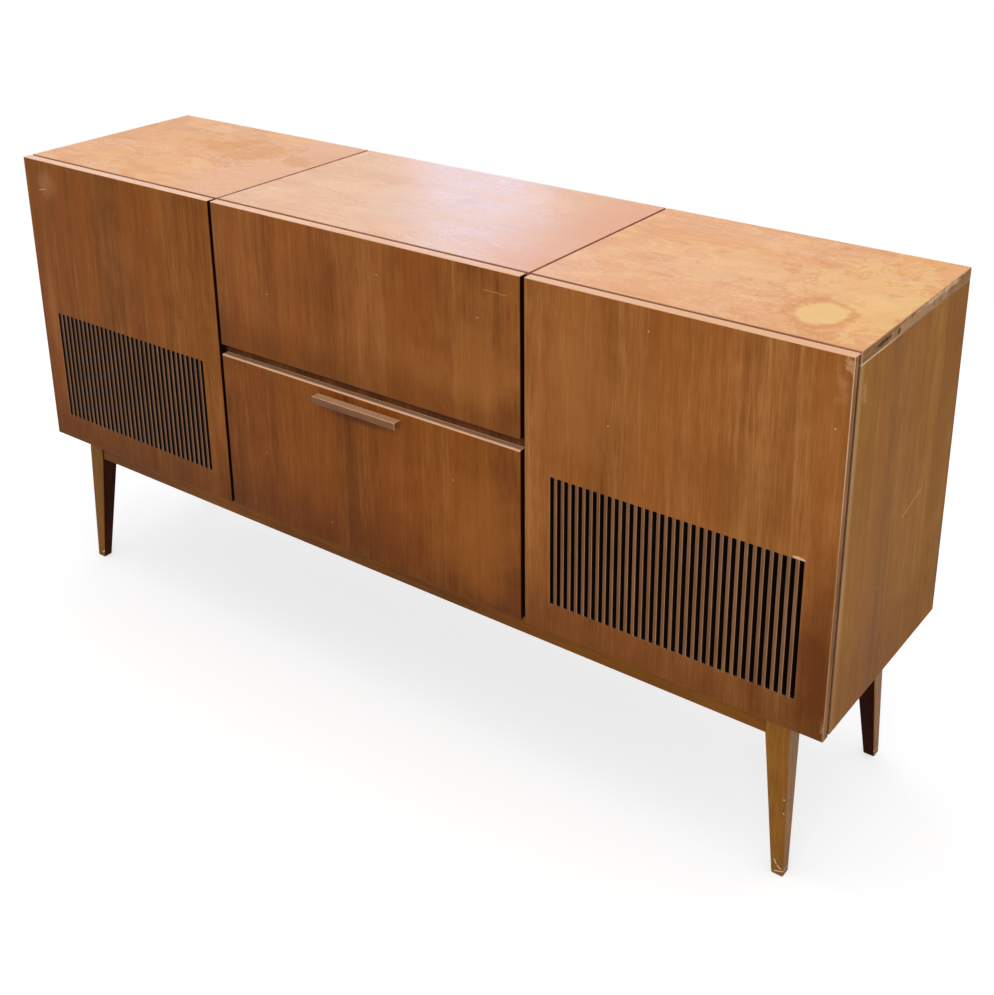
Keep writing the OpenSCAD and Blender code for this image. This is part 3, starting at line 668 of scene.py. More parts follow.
@dataclass(frozen=True)
class Metal:
    """Metal, bare, plated or enamelled.

    Attributes:
        name: Name of the finish.
        colour: Main colour.
        tarnish: Colour where it has dulled.
        working: How it was worked.
        rough: Roughness.
        centre: Axis of turned work, in the plan.
    """

    name: str
    colour: Colour
    tarnish: Colour
    working: Working
    rough: float = 0.3
    centre: tuple[float, float] = (0.0, 0.0)

    def build(self) -> Material:
        """Make the metal's material.

        Returns:
            The material.
        """
        g = Graph(self.name)
        dull = g.noise(g.stretched(14.0), detail=4.0, rough=0.6)
        colour = g.mix(g.step(dull, 0.45, 0.75, 0.0, 0.7), self.colour, self.tarnish)
        rough = g.sum("MULTIPLY_ADD", dull, 0.16, self.rough - 0.08)
        if self.working is Working.BRUSHED:
            lines = g.noise(g.stretched((15.0, 900.0, 900.0)), detail=2.0)
            g.bump(lines, 0.00006, 0.4)
        elif self.working is Working.TURNED:
            x, y, _ = g.split()
            dx = g.sum("SUBTRACT", x, self.centre[0])
            dy = g.sum("SUBTRACT", y, self.centre[1])
            radius = g.sum("SQRT", g.sum("ADD", g.sum("MULTIPLY", dx, dx), g.sum("MULTIPLY", dy, dy)))
            g.bump(g.sum("SINE", g.sum("MULTIPLY", radius, 5200.0)), 0.00005, 0.5)
        elif self.working is Working.ENAMELLED:
            orange_peel = g.noise(g.stretched(260.0), detail=2.0)
            g.bump(orange_peel, 0.00012, 0.35)
        else:
            g.bump(dull, 0.00004, 0.3)
        metallic = 0.0 if self.working is Working.ENAMELLED else 1.0
        return g.finish(colour, rough, Metallic=metallic)


@dataclass(frozen=True)
class Plastic:
    """Moulded plastic with faint clouding and handling marks.

    Attributes:
        name: Name of the finish.
        colour: Main colour.
        yellowed: Colour where it has aged.
        rough: Roughness.
    """

    name: str
    colour: Colour
    yellowed: Colour
    rough: float = 0.25

    def build(self) -> Material:
        """Make the plastic's material."""
        g = Graph(self.name)
        age = g.noise(g.stretched(22.0), detail=3.0)
        marks = g.noise(g.stretched((180.0, 40.0, 180.0)), detail=3.0, rough=0.7)
        colour = g.mix(g.step(age, 0.35, 0.7), self.colour, self.yellowed)
        g.bump(marks, 0.00005, 0.25)
        return g.finish(colour, g.sum("MULTIPLY_ADD", marks, 0.18, self.rough - 0.09))


@dataclass(frozen=True)
class Cloth:
    """Woven speaker cloth.

    Attributes:
        name: Name of the finish.
        dark: Colour between the threads.
        light: Colour of the threads.
        pitch: Distance from thread to thread.
    """

    name: str
    dark: Colour
    light: Colour
    pitch: float = 0.0012

    def build(self) -> Material:
        """Make the cloth's material.

        Returns:
            The material.
        """
        g = Graph(self.name)
        x, _, z = g.split()
        turns = 2.0 * math.pi / self.pitch
        warp = g.sum("SINE", g.sum("MULTIPLY", x, turns))
        weft = g.sum("SINE", g.sum("MULTIPLY", z, turns))
        weave = g.sum("MULTIPLY_ADD", g.sum("MULTIPLY", warp, weft), 0.5, 0.5)
        slub = g.noise(g.stretched((60.0, 60.0, 400.0)), detail=3.0)
        colour = g.mix(g.sum("MULTIPLY", weave, slub), self.dark, self.light)
        g.bump(weave, 0.0003, 0.6)
        return g.finish(colour, 0.92, Sheen_Weight=0.15)


@dataclass(frozen=True)
class Glass:
    """Clear dial glass with faint wipe marks."""

    name: str
    tint: Colour

    def build(self) -> Material:
        """Make the glass's material."""
        g = Graph(self.name)
        wipe = g.noise(g.stretched((9.0, 60.0, 60.0)), detail=3.0)
        g.bump(wipe, 0.00002, 0.2)
        return g.finish(self.tint, g.sum("MULTIPLY_ADD", wipe, 0.05, 0.02), Transmission_Weight=1.0,
                        IOR=1.46)

@dataclass(frozen=True)
class Lit:
    """How a side of the cabinet is lit, to find a wood's own colour from the colour that is seen.

    Attributes:
        veil: Light that the varnish adds over the wood.
        level: Level of the light that falls on the wood.
    """

    veil: float
    level: float

    def wood(self, red: int, green: int, blue: int) -> Colour:
        """Give the wood's own colour.

        Args:
            red: Red as seen, from 0 to 255.
            green: Green as seen.
            blue: Blue as seen.

        Returns:
            The linear colour under the varnish.
        """
        own = [min(0.95, max(0.002, (c - self.veil) / self.level)) for c in paint(red, green, blue)[:3]]
        return (own[0], own[1], own[2], 1.0)

    def woods(self, *shades: Shade) -> tuple[Colour, ...]:
        """Give the wood's own colours for several colours as seen."""
        return tuple(self.wood(*shade) for shade in shades)


ON_TOP = Lit(0.11, 1.0)
LEFT_LIT = Lit(0.010, 0.80)
MIDDLE_LIT = Lit(0.010, 0.84)
RIGHT_LIT = Lit(0.010, 0.88)
SIDE_LIT = Lit(0.026, 0.78)
LEG_LIT = Lit(0.010, 0.70)
RAIL_LIT = Lit(0.010, 0.60)


def front_veneer(name: str, seed: float, lit: Lit, shades: Sequence[Shade], marks: Marks) -> Veneer:
    """Describe the veneer of one front.

    Args:
        name: Name of the finish.
        seed: Shift of its pattern.
        lit: How it is lit.
        shades: Dark, middle, pale and red tones as seen.
        marks: Its worn places and painted shade.

    Returns:
        The veneer.
    """
    dark, middle, light, warm = lit.woods(*shades)
    return Veneer(name, Axis.UP, dark, middle, light, warm, seed=seed, rough=0.48, gloss=0.1, clouds=0.14,
                  cloud_colour=light, cloud_size=5.0, marks=marks)


@cache
def use(finish: Veneer | Board | Metal | Plastic | Cloth | Glass) -> Material:
    """Make a finish, or give its material again if it has been made."""
    return finish.build()


LIPPING = Veneer("front_lipping", Axis.ALONG,
                 *ON_TOP.woods((200, 138, 100), (252, 203, 172), (255, 220, 194)),
                 seed=4.0, contrast=0.5, rough=0.36, gloss=0.5, clouds=0.3,
                 cloud_colour=ON_TOP.wood(255, 228, 206), cloud_size=40.0, scuffs=0.2,
                 marks=(Wash(Axis.ALONG, 0.85, -0.5, ON_TOP.wood(238, 186, 146), 0.85, 0.1),))
# Pale arris: real wear on the outer edges, and a painted highlight on the right-facing slot edges.
ARRIS = Veneer("worn_arris_and_painted_highlight", Axis.UP, *RIGHT_LIT.woods((150, 108, 74), (200, 158, 120), (226, 188, 150)),
               seed=5.0, contrast=0.6, clouds=0.3, cloud_colour=RIGHT_LIT.wood(120, 84, 54), cloud_size=30.0,
               scuffs=0.0, marks=(Wash(Axis.UP, 0.56, 0.76, RIGHT_LIT.wood(152, 102, 62), 0.8, 0.3),))
TOP_ARRIS = Veneer("worn_top_arris", Axis.ALONG,
                   *ON_TOP.woods((190, 136, 96), (218, 168, 128), (240, 200, 160)),
                   seed=6.0, contrast=0.6, rough=0.4, gloss=0.3, clouds=0.4,
                   cloud_colour=ON_TOP.wood(236, 196, 158), cloud_size=30.0, scuffs=0.0)
# The wash darkens the back of each end face: painted shade of the groove behind the fronts.
END_EDGE = Veneer("front_end_edge", Axis.UP, *SIDE_LIT.woods((96, 62, 38), (139, 99, 66), (168, 128, 92)),
                  seed=7.0, gloss=0.05, clouds=0.3, cloud_colour=SIDE_LIT.wood(90, 58, 36), cloud_size=20.0,
                  marks=(Wash(Axis.DEEP, -0.196, -0.1995, SIDE_LIT.wood(56, 26, 12), 0.92, 0.0),))
# Near-black for the fronts' inner ends and undersides: painted shade in the gaps between and under the
# fronts.
GAP_SHADE = Veneer("gap_edge_painted_shade", Axis.UP, paint(16, 7, 7), paint(30, 13, 13), paint(46, 22, 20), seed=7.5,
                  rough=0.6, gloss=0.05, scuffs=0.0)
CHIP = LEG_LIT.wood(250, 240, 225)
WORN = LEG_LIT.wood(236, 214, 190)
LEG_WOOD = Veneer("leg_wood", Axis.UP, *LEG_LIT.woods((88, 56, 22), (124, 81, 35), (150, 106, 52)),
                  seed=8.0, contrast=0.8, rough=0.42, gloss=0.12, clouds=0.15,
                  cloud_colour=LEG_LIT.wood(150, 108, 56), marks=(
                      Wash(Axis.UP, 0.0, 0.10, LEG_LIT.wood(104, 62, 28), 0.5),
                      Wash(Axis.ALONG, -0.8, 0.0, LEG_LIT.wood(98, 62, 28), 0.6, 0.2),
                      Scratch((0.807, -0.187, 0.029), (0.812, -0.187, 0.019), Axis.DEEP, CHIP),
                      Scratch((0.812, -0.187, 0.019), (0.821, -0.187, 0.014), Axis.DEEP, CHIP),
                      Scratch((-0.809, -0.187, 0.010), (-0.799, -0.187, 0.017), Axis.DEEP, WORN),
                      Scratch((0.806, 0.186, 0.006), (0.824, 0.186, 0.012), Axis.DEEP, WORN),
                      Specks(((0.815, -0.185, 0.142), (0.816, -0.185, 0.117), (0.800, -0.184, 0.075)),
                             LEG_LIT.wood(232, 206, 170))))
# Darker copy of the leg wood for the legs' inner faces: painted shade under the cabinet.
LEG_INNER_SHADE = Veneer("leg_inside_painted_shade", Axis.UP, *LEG_LIT.woods((36, 21, 6), (50, 31, 8), (70, 46, 16)),
                    seed=8.5, contrast=0.7, gloss=0.03)
RAIL_WOOD = Veneer("rail_wood", Axis.ALONG, *RAIL_LIT.woods((64, 36, 14), (90, 54, 23), (116, 74, 34)),
                   seed=9.0, contrast=0.8, rough=0.45, gloss=0.1, clouds=0.15,
                   cloud_colour=RAIL_LIT.wood(120, 78, 38),
                   marks=(Wash(Axis.ALONG, 0.8, 0.1, RAIL_LIT.wood(122, 80, 36), 0.6),))
PULL_WOOD = Veneer("pull_wood", Axis.ALONG, paint(86, 50, 24), paint(116, 74, 42), paint(146, 100, 62),
                   seed=10.0, rough=0.4, gloss=0.2, clouds=0.2, cloud_colour=paint(150, 104, 68),
                   cloud_size=25.0)
PULL_TOP = Veneer("pull_top", Axis.ALONG, paint(166, 120, 86), paint(198, 150, 112), paint(214, 170, 132),
                  seed=10.5, rough=0.4, gloss=0.3, scuffs=0.3)
# Pale arris of the pull: partly wear, partly a painted highlight.
PULL_ARRIS_WEAR_AND_HIGHLIGHT = Veneer("pull_arris_wear_and_painted_highlight", Axis.ALONG, paint(212, 170, 134), paint(242, 204, 170),
                    paint(252, 220, 190), seed=10.7, contrast=0.6, rough=0.4, gloss=0.3, scuffs=0.0)
FLAP_TOP = Veneer("flap_top", Axis.ALONG, paint(160, 118, 86), paint(190, 146, 112), paint(210, 168, 134),
                  seed=3.8, gloss=0.1, scuffs=0.3)
# Dark wood for the tongue behind the flap, darkest at its top: painted shade under the upper front.
TONGUE_SHADE = Veneer("tongue_painted_shade", Axis.UP, paint(60, 30, 12), paint(104, 58, 28), paint(128, 78, 42), seed=3.7,
                gloss=0.05, marks=(Wash(Axis.UP, 0.622, 0.606, paint(38, 18, 7), 0.7, 0.0),))
# Pale rounded top edge of the flap: partly wear, partly a painted highlight from the light above.
FLAP_ARRIS_WEAR_AND_HIGHLIGHT = Veneer("flap_arris_wear_and_painted_highlight", Axis.ALONG,
                    *ON_TOP.woods((206, 150, 112), (242, 194, 162), (252, 214, 186)),
                    seed=3.9, contrast=0.4, rough=0.4, gloss=0.4, scuffs=0.1)
LID_SEAM = Board("lid_seam", Axis.ALONG, paint(156, 102, 74), paint(186, 130, 100), 0.6)
LID_UNDER = Veneer("lid_underside", Axis.ALONG, paint(118, 74, 42), paint(146, 98, 58), paint(168, 120, 76),
                   seed=15.0, contrast=0.8, rough=0.5, gloss=0.15, clouds=0.2,
                   cloud_colour=paint(160, 112, 70))
FLAP_INSIDE = Veneer("flap_inside", Axis.UP, paint(104, 64, 34), paint(134, 86, 50), paint(158, 110, 70),
                     seed=16.0, contrast=0.8, rough=0.45, gloss=0.2, clouds=0.2,
                     cloud_colour=paint(150, 102, 64))
INNER = Board("inner_board", Axis.ALONG, paint(112, 74, 44), paint(142, 98, 62))
INNER_UPRIGHT = Board("inner_upright_board", Axis.DEEP, paint(104, 68, 40), paint(134, 92, 58))
HARDBOARD = Board("hardboard", Axis.ALONG, paint(88, 58, 36), paint(120, 82, 52), 0.75, 0.5)
# Near-black packing: painted shade in the reveal behind the fronts.
PACKING_SHADE = Board("black_packing", Axis.UP, paint(30, 11, 9), paint(46, 20, 17), 0.85)
BAFFLE = Board("black_baffle", Axis.ALONG, paint(20, 18, 16), paint(40, 36, 32), 0.85)
# Near-black for the walls of the slots: painted shade in the slots.
SLOT_WALL_SHADE = Board("slot_walls_painted_shade", Axis.UP, paint(10, 4, 3), paint(28, 13, 8), 0.8)
CLOTH = Cloth("speaker_cloth", paint(8, 6, 5), paint(38, 29, 22))
BRASS = Metal("lacquered_brass", paint(196, 156, 84), paint(130, 96, 48), Working.BRUSHED, 0.34)
NICKEL = Metal("nickelled_steel", paint(186, 184, 176), paint(132, 126, 114), Working.BRUSHED, 0.3)
CHROME = Metal("chrome", paint(214, 214, 212), paint(172, 170, 166), Working.POLISHED, 0.14)
BASKET = Metal("basket_enamel", paint(58, 60, 60), paint(40, 40, 40), Working.ENAMELLED, 0.5)
DECK = Metal("deck_enamel", paint(196, 188, 168), paint(182, 170, 144), Working.ENAMELLED, 0.34)
FACE = Metal("face_plate_lacquer", paint(86, 66, 40), paint(66, 50, 30), Working.ENAMELLED, 0.32)
CHASSIS = Metal("plated_chassis", paint(186, 178, 150), paint(146, 132, 100), Working.BRUSHED, 0.4)
CREAM = Plastic("cream_plastic", paint(226, 214, 180), paint(212, 194, 150))
IVORY = Plastic("catch_plastic", paint(214, 204, 178), paint(200, 184, 146), 0.45)
RED = Plastic("pointer_red", paint(206, 40, 26), paint(180, 30, 20))
INK = Plastic("dial_ink", paint(230, 218, 178), paint(214, 198, 152), 0.5)
DARK_INK = Plastic("deck_ink", paint(44, 40, 34), paint(60, 54, 46), 0.5)
DIAL_BACK = Plastic("dial_back", paint(22, 28, 24), paint(32, 36, 29), 0.5)
RUBBER = Plastic("mat_rubber", paint(26, 26, 26), paint(38, 37, 35), 0.75)
CONE = Board("cone_paper", Axis.ALONG, paint(24, 23, 21), paint(44, 41, 38), 0.9, 0.3)
DIAL_GLASS = Glass("dial_glass", (0.93, 0.97, 0.95, 1.0))


def add_piece(name: str, bm: Geometry, materials: Sequence[Material], body: str, slot: str,
              stands_for: Sequence[str] = ()) -> None:
    """Put worked geometry in the scene as a piece of the cabinet.

    Args:
        name: Name of the piece.
        bm: Its geometry, in the cabinet's own place, which is freed.
        materials: Its finishes in slot order.
        body: The moving body that carries it.
        slot: The record's material slot; not used.
        stands_for: Nodes that it takes the place of.
    """
    piece = bpy.data.objects.new(name, mesh_from(bm, name, materials))
    bpy.context.scene.collection.objects.link(piece)
    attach(piece, body)
    if stands_for:
        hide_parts(*stands_for)
    LOG.info("made %s on %s", name, body)


def dress(node: str, material: Material) -> None:
    """Give a node of the model its finish.

    Args:
        node: Name of the node.
        material: The finish.
    """
    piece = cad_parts[node]
    if not piece.material_slots:
        piece.data.materials.append(material)
    for place in piece.material_slots:
        place.material = material
    LOG.info("dressed %s", node)


def mesh_from(bm: Geometry, name: str, materials: Sequence[Material]) -> bpy.types.Mesh:
    """Turn worked geometry into a mesh with its finishes.

    Args:
        bm: The geometry, which is freed.
        name: Name of the mesh.
        materials: Finishes in slot order.

    Returns:
        The mesh.
    """
    mesh = bpy.data.meshes.new(name)
    bm.normal_update()
    bm.to_mesh(mesh)
    bm.free()
    for material in materials:
        mesh.materials.append(material)
    return mesh


def soften(bm: Geometry, arris: float, steps: int = 2, angle: float = 0.6) -> None:
    """Round every sharp edge a little.

    Args:
        bm: The geometry.
        arris: Width of the rounding.
        steps: Number of facets in it.
        angle: Least angle of an edge that is rounded.
    """
    sharp = [e for e in bm.edges if len(e.link_faces) == 2 and e.calc_face_angle(0.0) > angle]
    bmesh.ops.bevel(bm, geom=sharp, offset=arris, segments=steps, profile=0.6, affect="EDGES",
                    clamp_overlap=True)


def sort_faces(bm: Geometry, choose: Chooser) -> None:
    """Give each face its finish by the way it looks and its place.

    Args:
        bm: The geometry.
        choose: Takes a face's normal and middle and gives its slot.
    """
    bm.normal_update()
    for face in bm.faces:
        face.material_index = choose(face.normal, face.calc_center_median())
        face.smooth = max(abs(c) for c in face.normal) < 0.999


def box_geometry(low: Vector, high: Vector) -> Geometry:
    """Make a box between two corners.

    Args:
        low: Lowest corner.
        high: Highest corner.

    Returns:
        The box.
    """
    bm = bmesh.new()
    bmesh.ops.create_cube(bm, size=1.0)
    size, middle = high - low, (high + low) / 2
    for vertex in bm.verts:
        vertex.co = Vector(c * s + m for c, s, m in zip(vertex.co, size, middle))
    return bm


def lathe(profile: Profile, steps: int = 96) -> Geometry:
    """Turn a profile about the upright axis.

    Args:
        profile: Radius and height of each point, from the axis round to the axis.
        steps: Number of facets.

    Returns:
        The turned geometry.
    """
    bm = bmesh.new()
    points = [bm.verts.new((r, 0.0, z)) for r, z in profile]
    edges = [bm.edges.new(pair) for pair in zip(points, points[1:])]
    bmesh.ops.spin(bm, geom=points + edges, cent=(0, 0, 0), axis=(0, 0, 1), angle=2 * math.pi, steps=steps,
                   use_duplicate=False)
    bmesh.ops.remove_doubles(bm, verts=bm.verts, dist=1e-6)
    bmesh.ops.recalc_face_normals(bm, faces=bm.faces)
    return bm


def move(bm: Geometry, place: Point) -> None:
    """Shift geometry to a place."""
    bmesh.ops.translate(bm, verts=bm.verts, vec=Vector(place))


def smooth_round(bm: Geometry, angle: float = 0.7) -> None:
    """Shade curved faces smoothly and keep sharp edges sharp."""
    for face in bm.faces:
        face.smooth = True
    for edge in bm.edges:
        edge.smooth = len(edge.link_faces) == 2 and edge.calc_face_angle(0.0) < angle


def extruded(section: Profile, start: float, end: float) -> Geometry:
    """Draw a section out along the cabinet.

    Args:
        section: Points from front to back and up.
        start: Left end.
        end: Right end.

    Returns:
        The solid.
    """
    bm = bmesh.new()
    ends = [[bm.verts.new((x, y, z)) for y, z in section] for x in (start, end)]
    bm.faces.new(ends[0])
    bm.faces.new(list(reversed(ends[1])))
    for i in range(len(section)):
        k = (i + 1) % len(section)
        bm.faces.new([ends[0][i], ends[1][i], ends[1][k], ends[0][k]])
    bmesh.ops.recalc_face_normals(bm, faces=bm.faces)
    return bm


def joined(parts: Sequence[Geometry]) -> Geometry:
    """Put several pieces of geometry together and free them.

    Args:
        parts: The pieces.

    Returns:
        All of them as one.
    """
    total = bmesh.new()
    scrap = bpy.data.meshes.new("scrap")
    for part in parts:
        part.to_mesh(scrap)
        part.free()
        total.from_mesh(scrap)
    bpy.data.meshes.remove(scrap)
    return total


def chamfered(low: Point, high: Point, arris: float) -> Geometry:
    """Make a box with softened edges between two corners."""
    bm = box_geometry(Vector(low), Vector(high))
    soften(bm, arris)
    return bm


def turned(profile: Profile, place: Point, axis: Axis = Axis.UP, steps: int = 48) -> Geometry:
    """Turn a profile and set it in place along a direction.

    Args:
        profile: Radius and height of each point.
        place: Foot of the turned piece.
        axis: Direction of its height.
        steps: Number of facets.

    Returns:
        The turned piece.
    """
    tilts = {Axis.UP: Matrix.Identity(4), Axis.DEEP: Matrix.Rotation(-math.pi / 2, 4, "X"),
             Axis.ALONG: Matrix.Rotation(math.pi / 2, 4, "Y")}
    bm = lathe(profile, steps)
    bmesh.ops.transform(bm, matrix=Matrix.Translation(Vector(place)) @ tilts[axis], verts=bm.verts)
    return bm


def screw_head(radius: float, place: Point, axis: Axis, slot_turn: float) -> Geometry:
    """Make a domed screw head with its slot.

    Args:
        radius: Radius of the head.
        place: Where the head sits.
        axis: Direction that it faces.
        slot_turn: Turn of the slot.

    Returns:
        The head's geometry.
    """
    tilt = Matrix.Rotation(-math.pi / 2, 4, "X") if axis is Axis.DEEP else Matrix.Identity(4)
    rise = radius * 0.40
    bm = lathe([(0.0, 0.0), (radius, 0.0), (radius, rise * 0.3), (radius * 0.75, rise * 0.75),
                (radius * 0.4, rise * 0.95), (0.0, rise)], 16)
    groove = box_geometry(Vector((-radius * 0.9, -radius * 0.12, rise * 0.8)),
                          Vector((radius * 0.9, radius * 0.12, rise * 1.03)))
    head = joined([bm, groove])
    turn = Matrix.Translation(Vector(place)) @ tilt @ Matrix.Rotation(slot_turn, 4, "Z")
    bmesh.ops.transform(head, matrix=turn, verts=head.verts)
    return head


def lettering(text: str, size: float, place: Point) -> Geometry:
    """Make thin numerals that lie flat and read from the front.

    Args:
        text: The numerals.
        size: Their size.
        place: Their middle.

    Returns:
        The numerals' geometry.
    """
    data = bpy.data.curves.new("numerals", "FONT")
    data.body = text
    data.size = size
    data.extrude = 0.03 * MM
    data.resolution_u = 3
    data.align_x, data.align_y = "CENTER", "CENTER"
    holder = bpy.data.objects.new("numerals", data)
    bpy.context.scene.collection.objects.link(holder)
    bpy.context.view_layer.update()
    bm = bmesh.new()
    bm.from_mesh(holder.to_mesh())
    holder.to_mesh_clear()
    bpy.data.objects.remove(holder)
    bpy.data.curves.remove(data)
    move(bm, place)
    return bm


def islands(node: str) -> list[tuple[Vector, Vector]]:
    """Give the corners of each separate solid of a node.

    Args:
        node: Name of the node.

    Returns:
        Lowest and highest corner of each solid.
    """
    bm = bmesh.new()
    bm.from_mesh(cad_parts[node].data)
    bmesh.ops.remove_doubles(bm, verts=bm.verts, dist=1e-6)
    left, boxes = set(bm.verts), []
    while left:
        edge = [left.pop()]
        found = list(edge)
        while edge:
            near = [e.other_vert(v) for v in edge for e in v.link_edges]
            edge = [v for v in set(near) if v in left]
            left.difference_update(edge)
            found += edge
        boxes.append(tuple(Vector([pick(v.co[i] for v in found) for i in range(3)]) for pick in (min, max)))
    bm.free()
    return sorted(boxes, key=lambda box: tuple(box[0]))


class Slot(Enum):
    """The finishes that a board takes, in the order of its material slots."""

    FACE = 0
    GAP = 1
    ARRIS = 2
    TOP = 3
    OUTER = 4
    INSIDE = 5
    WALL = 6
    SLAT = 7


@dataclass
class VeneeredBoard:
    """One board with faces, edges and worn arrises.

    Attributes:
        node: The node that it takes the place of.
        body: The body that carries it.
        slot: Its material slot in the record.
        flat: Direction of its thickness.
        outer: Side of the cabinet that its end shows on: -1 left, 1 right, 0 none.
        arris: Width of the rounding of its edges.
    """

    node: str
    body: str
    slot: str
    flat: Axis
    outer: int = 0
    arris: float = 1.2 * MM

    def choose(self, normal: Vector, middle: Vector) -> int:
        """Pick the finish of a face by the way that it looks.

        Args:
            normal: The face's normal.
            middle: The face's middle, which some boards go by.

        Returns:
            The number of its slot.
        """
        upright = self.flat is not Axis.UP
        if abs(normal[self.flat.value]) > SQUARE:
            inward = {Axis.UP: -normal.z, Axis.DEEP: normal.y, Axis.ALONG: -normal.x * self.outer}[self.flat]
            return Slot.INSIDE.value if inward > 0 else Slot.FACE.value
        if max(abs(c) for c in normal) < SQUARE:
            if upright and normal.z > LEANING:
                return Slot.TOP.value
            if not upright and normal.y < LEANING and normal.x * self.outer < LEANING:
                return Slot.GAP.value
            return Slot.ARRIS.value if normal.x * self.outer > LEANING else Slot.FACE.value
        if upright and normal.z > SQUARE:
            return Slot.TOP.value
        return Slot.OUTER.value if normal.x * self.outer > SQUARE else Slot.GAP.value

    def add(self, bm: Geometry, choose: Chooser, materials: Sequence[Material]) -> None:
        """Give the faces their finishes and put the board in the scene."""
        sort_faces(bm, choose)
        add_piece(f"{self.node}_board", bm, materials, self.body, self.slot, [self.node])

    def make(self, materials: Sequence[Material]) -> None:
        """Build the board.

        Args:
            materials: Its finishes in the order of Slot.
        """
        low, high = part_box(self.node)
        bm = box_geometry(low, high)
        soften(bm, self.arris)
        self.add(bm, self.choose, materials)


@dataclass
class SlottedFront(VeneeredBoard):
    """A side front with its field of upright slots.

    Attributes:
        slots: Number of slots.
        slot_width: Width of a slot.
        slot_height: Height of a slot.
        margin: Distance from the board's end to the first slot.
        rise: Distance from the bottom edge to the slots.
        slot_arris: Rounding of a slot's edges.
    """

    slots: int = 33
    slot_width: float = 7.2 * MM
    slot_height: float = 229 * MM
    margin: float = 49 * MM
    rise: float = 54.5 * MM
    slot_arris: float = 0.7 * MM

    def lattice(self, low: Vector, high: Vector) -> Geometry:
        """Make the front as a plate with its slots left open.

        Args:
            low: Lowest corner.
            high: Highest corner.

        Returns:
            The plate.
        """
        pitch = (high.x - low.x - 2 * self.margin - self.slot_width) / (self.slots - 1)
        starts = [low.x + self.margin + i * pitch for i in range(self.slots)]
        columns = [low.x] + [x for s in starts for x in (s, s + self.slot_width)] + [high.x]
        rows = [low.z, low.z + self.rise, low.z + self.rise + self.slot_height, high.z]
        bm = bmesh.new()
        grid = {(i, k, y): bm.verts.new((x, y, z)) for i, x in enumerate(columns) for k, z in enumerate(rows)
                for y in (low.y, high.y)}

        def is_open(i: int, k: int) -> bool:
            """Tell whether a cell is a slot or lies outside the board."""
            outside = i < 0 or k < 0 or i >= len(columns) - 1 or k >= len(rows) - 1
            return outside or (k == 1 and i % 2 == 1)

        for i in range(len(columns) - 1):
            for k in range(len(rows) - 1):
                if is_open(i, k):
                    continue
                corners = [(i, k), (i + 1, k), (i + 1, k + 1), (i, k + 1)]
                bm.faces.new([grid[c + (low.y,)] for c in corners])
                bm.faces.new([grid[c + (high.y,)] for c in reversed(corners)])
                sides = (((i, k - 1), 0, 1), ((i + 1, k), 1, 2), ((i, k + 1), 2, 3), ((i - 1, k), 3, 0))
                for cell, a, b in sides:
                    if is_open(*cell):
                        pa, pb = corners[a], corners[b]
                        bm.faces.new([grid[pb + (low.y,)], grid[pa + (low.y,)], grid[pa + (high.y,)],
                                      grid[pb + (high.y,)]])
        bmesh.ops.recalc_face_normals(bm, faces=bm.faces)
        return bm

    def make(self, materials: Sequence[Material]) -> None:
        """Build the slotted front.

        Args:
            materials: Its finishes in the order of Slot.
        """
        low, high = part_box(self.node)
        bm = self.lattice(low, high)
        rim = [e for e in bm.edges if e.calc_face_angle(0.0) > 0.6]
        rim_width = Vector((10 * MM,) * 3)
        inner_low, inner_high = low + rim_width, high - rim_width

        def is_within(spot: Vector) -> bool:
            """Tell whether a place is away from the board's outer edges."""
            return inner_low.x < spot.x < inner_high.x and inner_low.z < spot.z < inner_high.z

        inside = [e for e in rim if all(is_within(v.co) for v in e.verts)]
        outer = [e for e in rim if e not in set(inside)]
        bmesh.ops.bevel(bm, geom=inside, offset=self.slot_arris, segments=1, affect="EDGES",
                        clamp_overlap=True)
        outer = [e for e in outer if e.is_valid]
        bmesh.ops.bevel(bm, geom=outer, offset=self.arris, segments=2, profile=0.6, affect="EDGES",
                        clamp_overlap=True)
        foot, edge = low.z + self.rise, self.margin - 1 * MM

        def choose(normal: Vector, middle: Vector) -> int:
            """Pick the slot of a face; the slots' walls take painted shade, right-facing slot edges a painted
            highlight, and the slats are duller than the front.
            """
            within = is_within(middle)
            slat = low.x + edge < middle.x < high.x - edge and foot < middle.z < foot + self.slot_height
            if within and abs(normal.y) < 0.5:
                return Slot.WALL.value
            # Right-facing slot edges take the pale arris as a painted highlight; the others take the slats'
            # finish.
            if within and abs(normal.y) < SQUARE:
                return Slot.ARRIS.value if normal.x > 0.3 else Slot.SLAT.value
            return Slot.SLAT.value if slat and normal.y < -SQUARE else self.choose(normal, middle)

        self.add(bm, choose, materials)


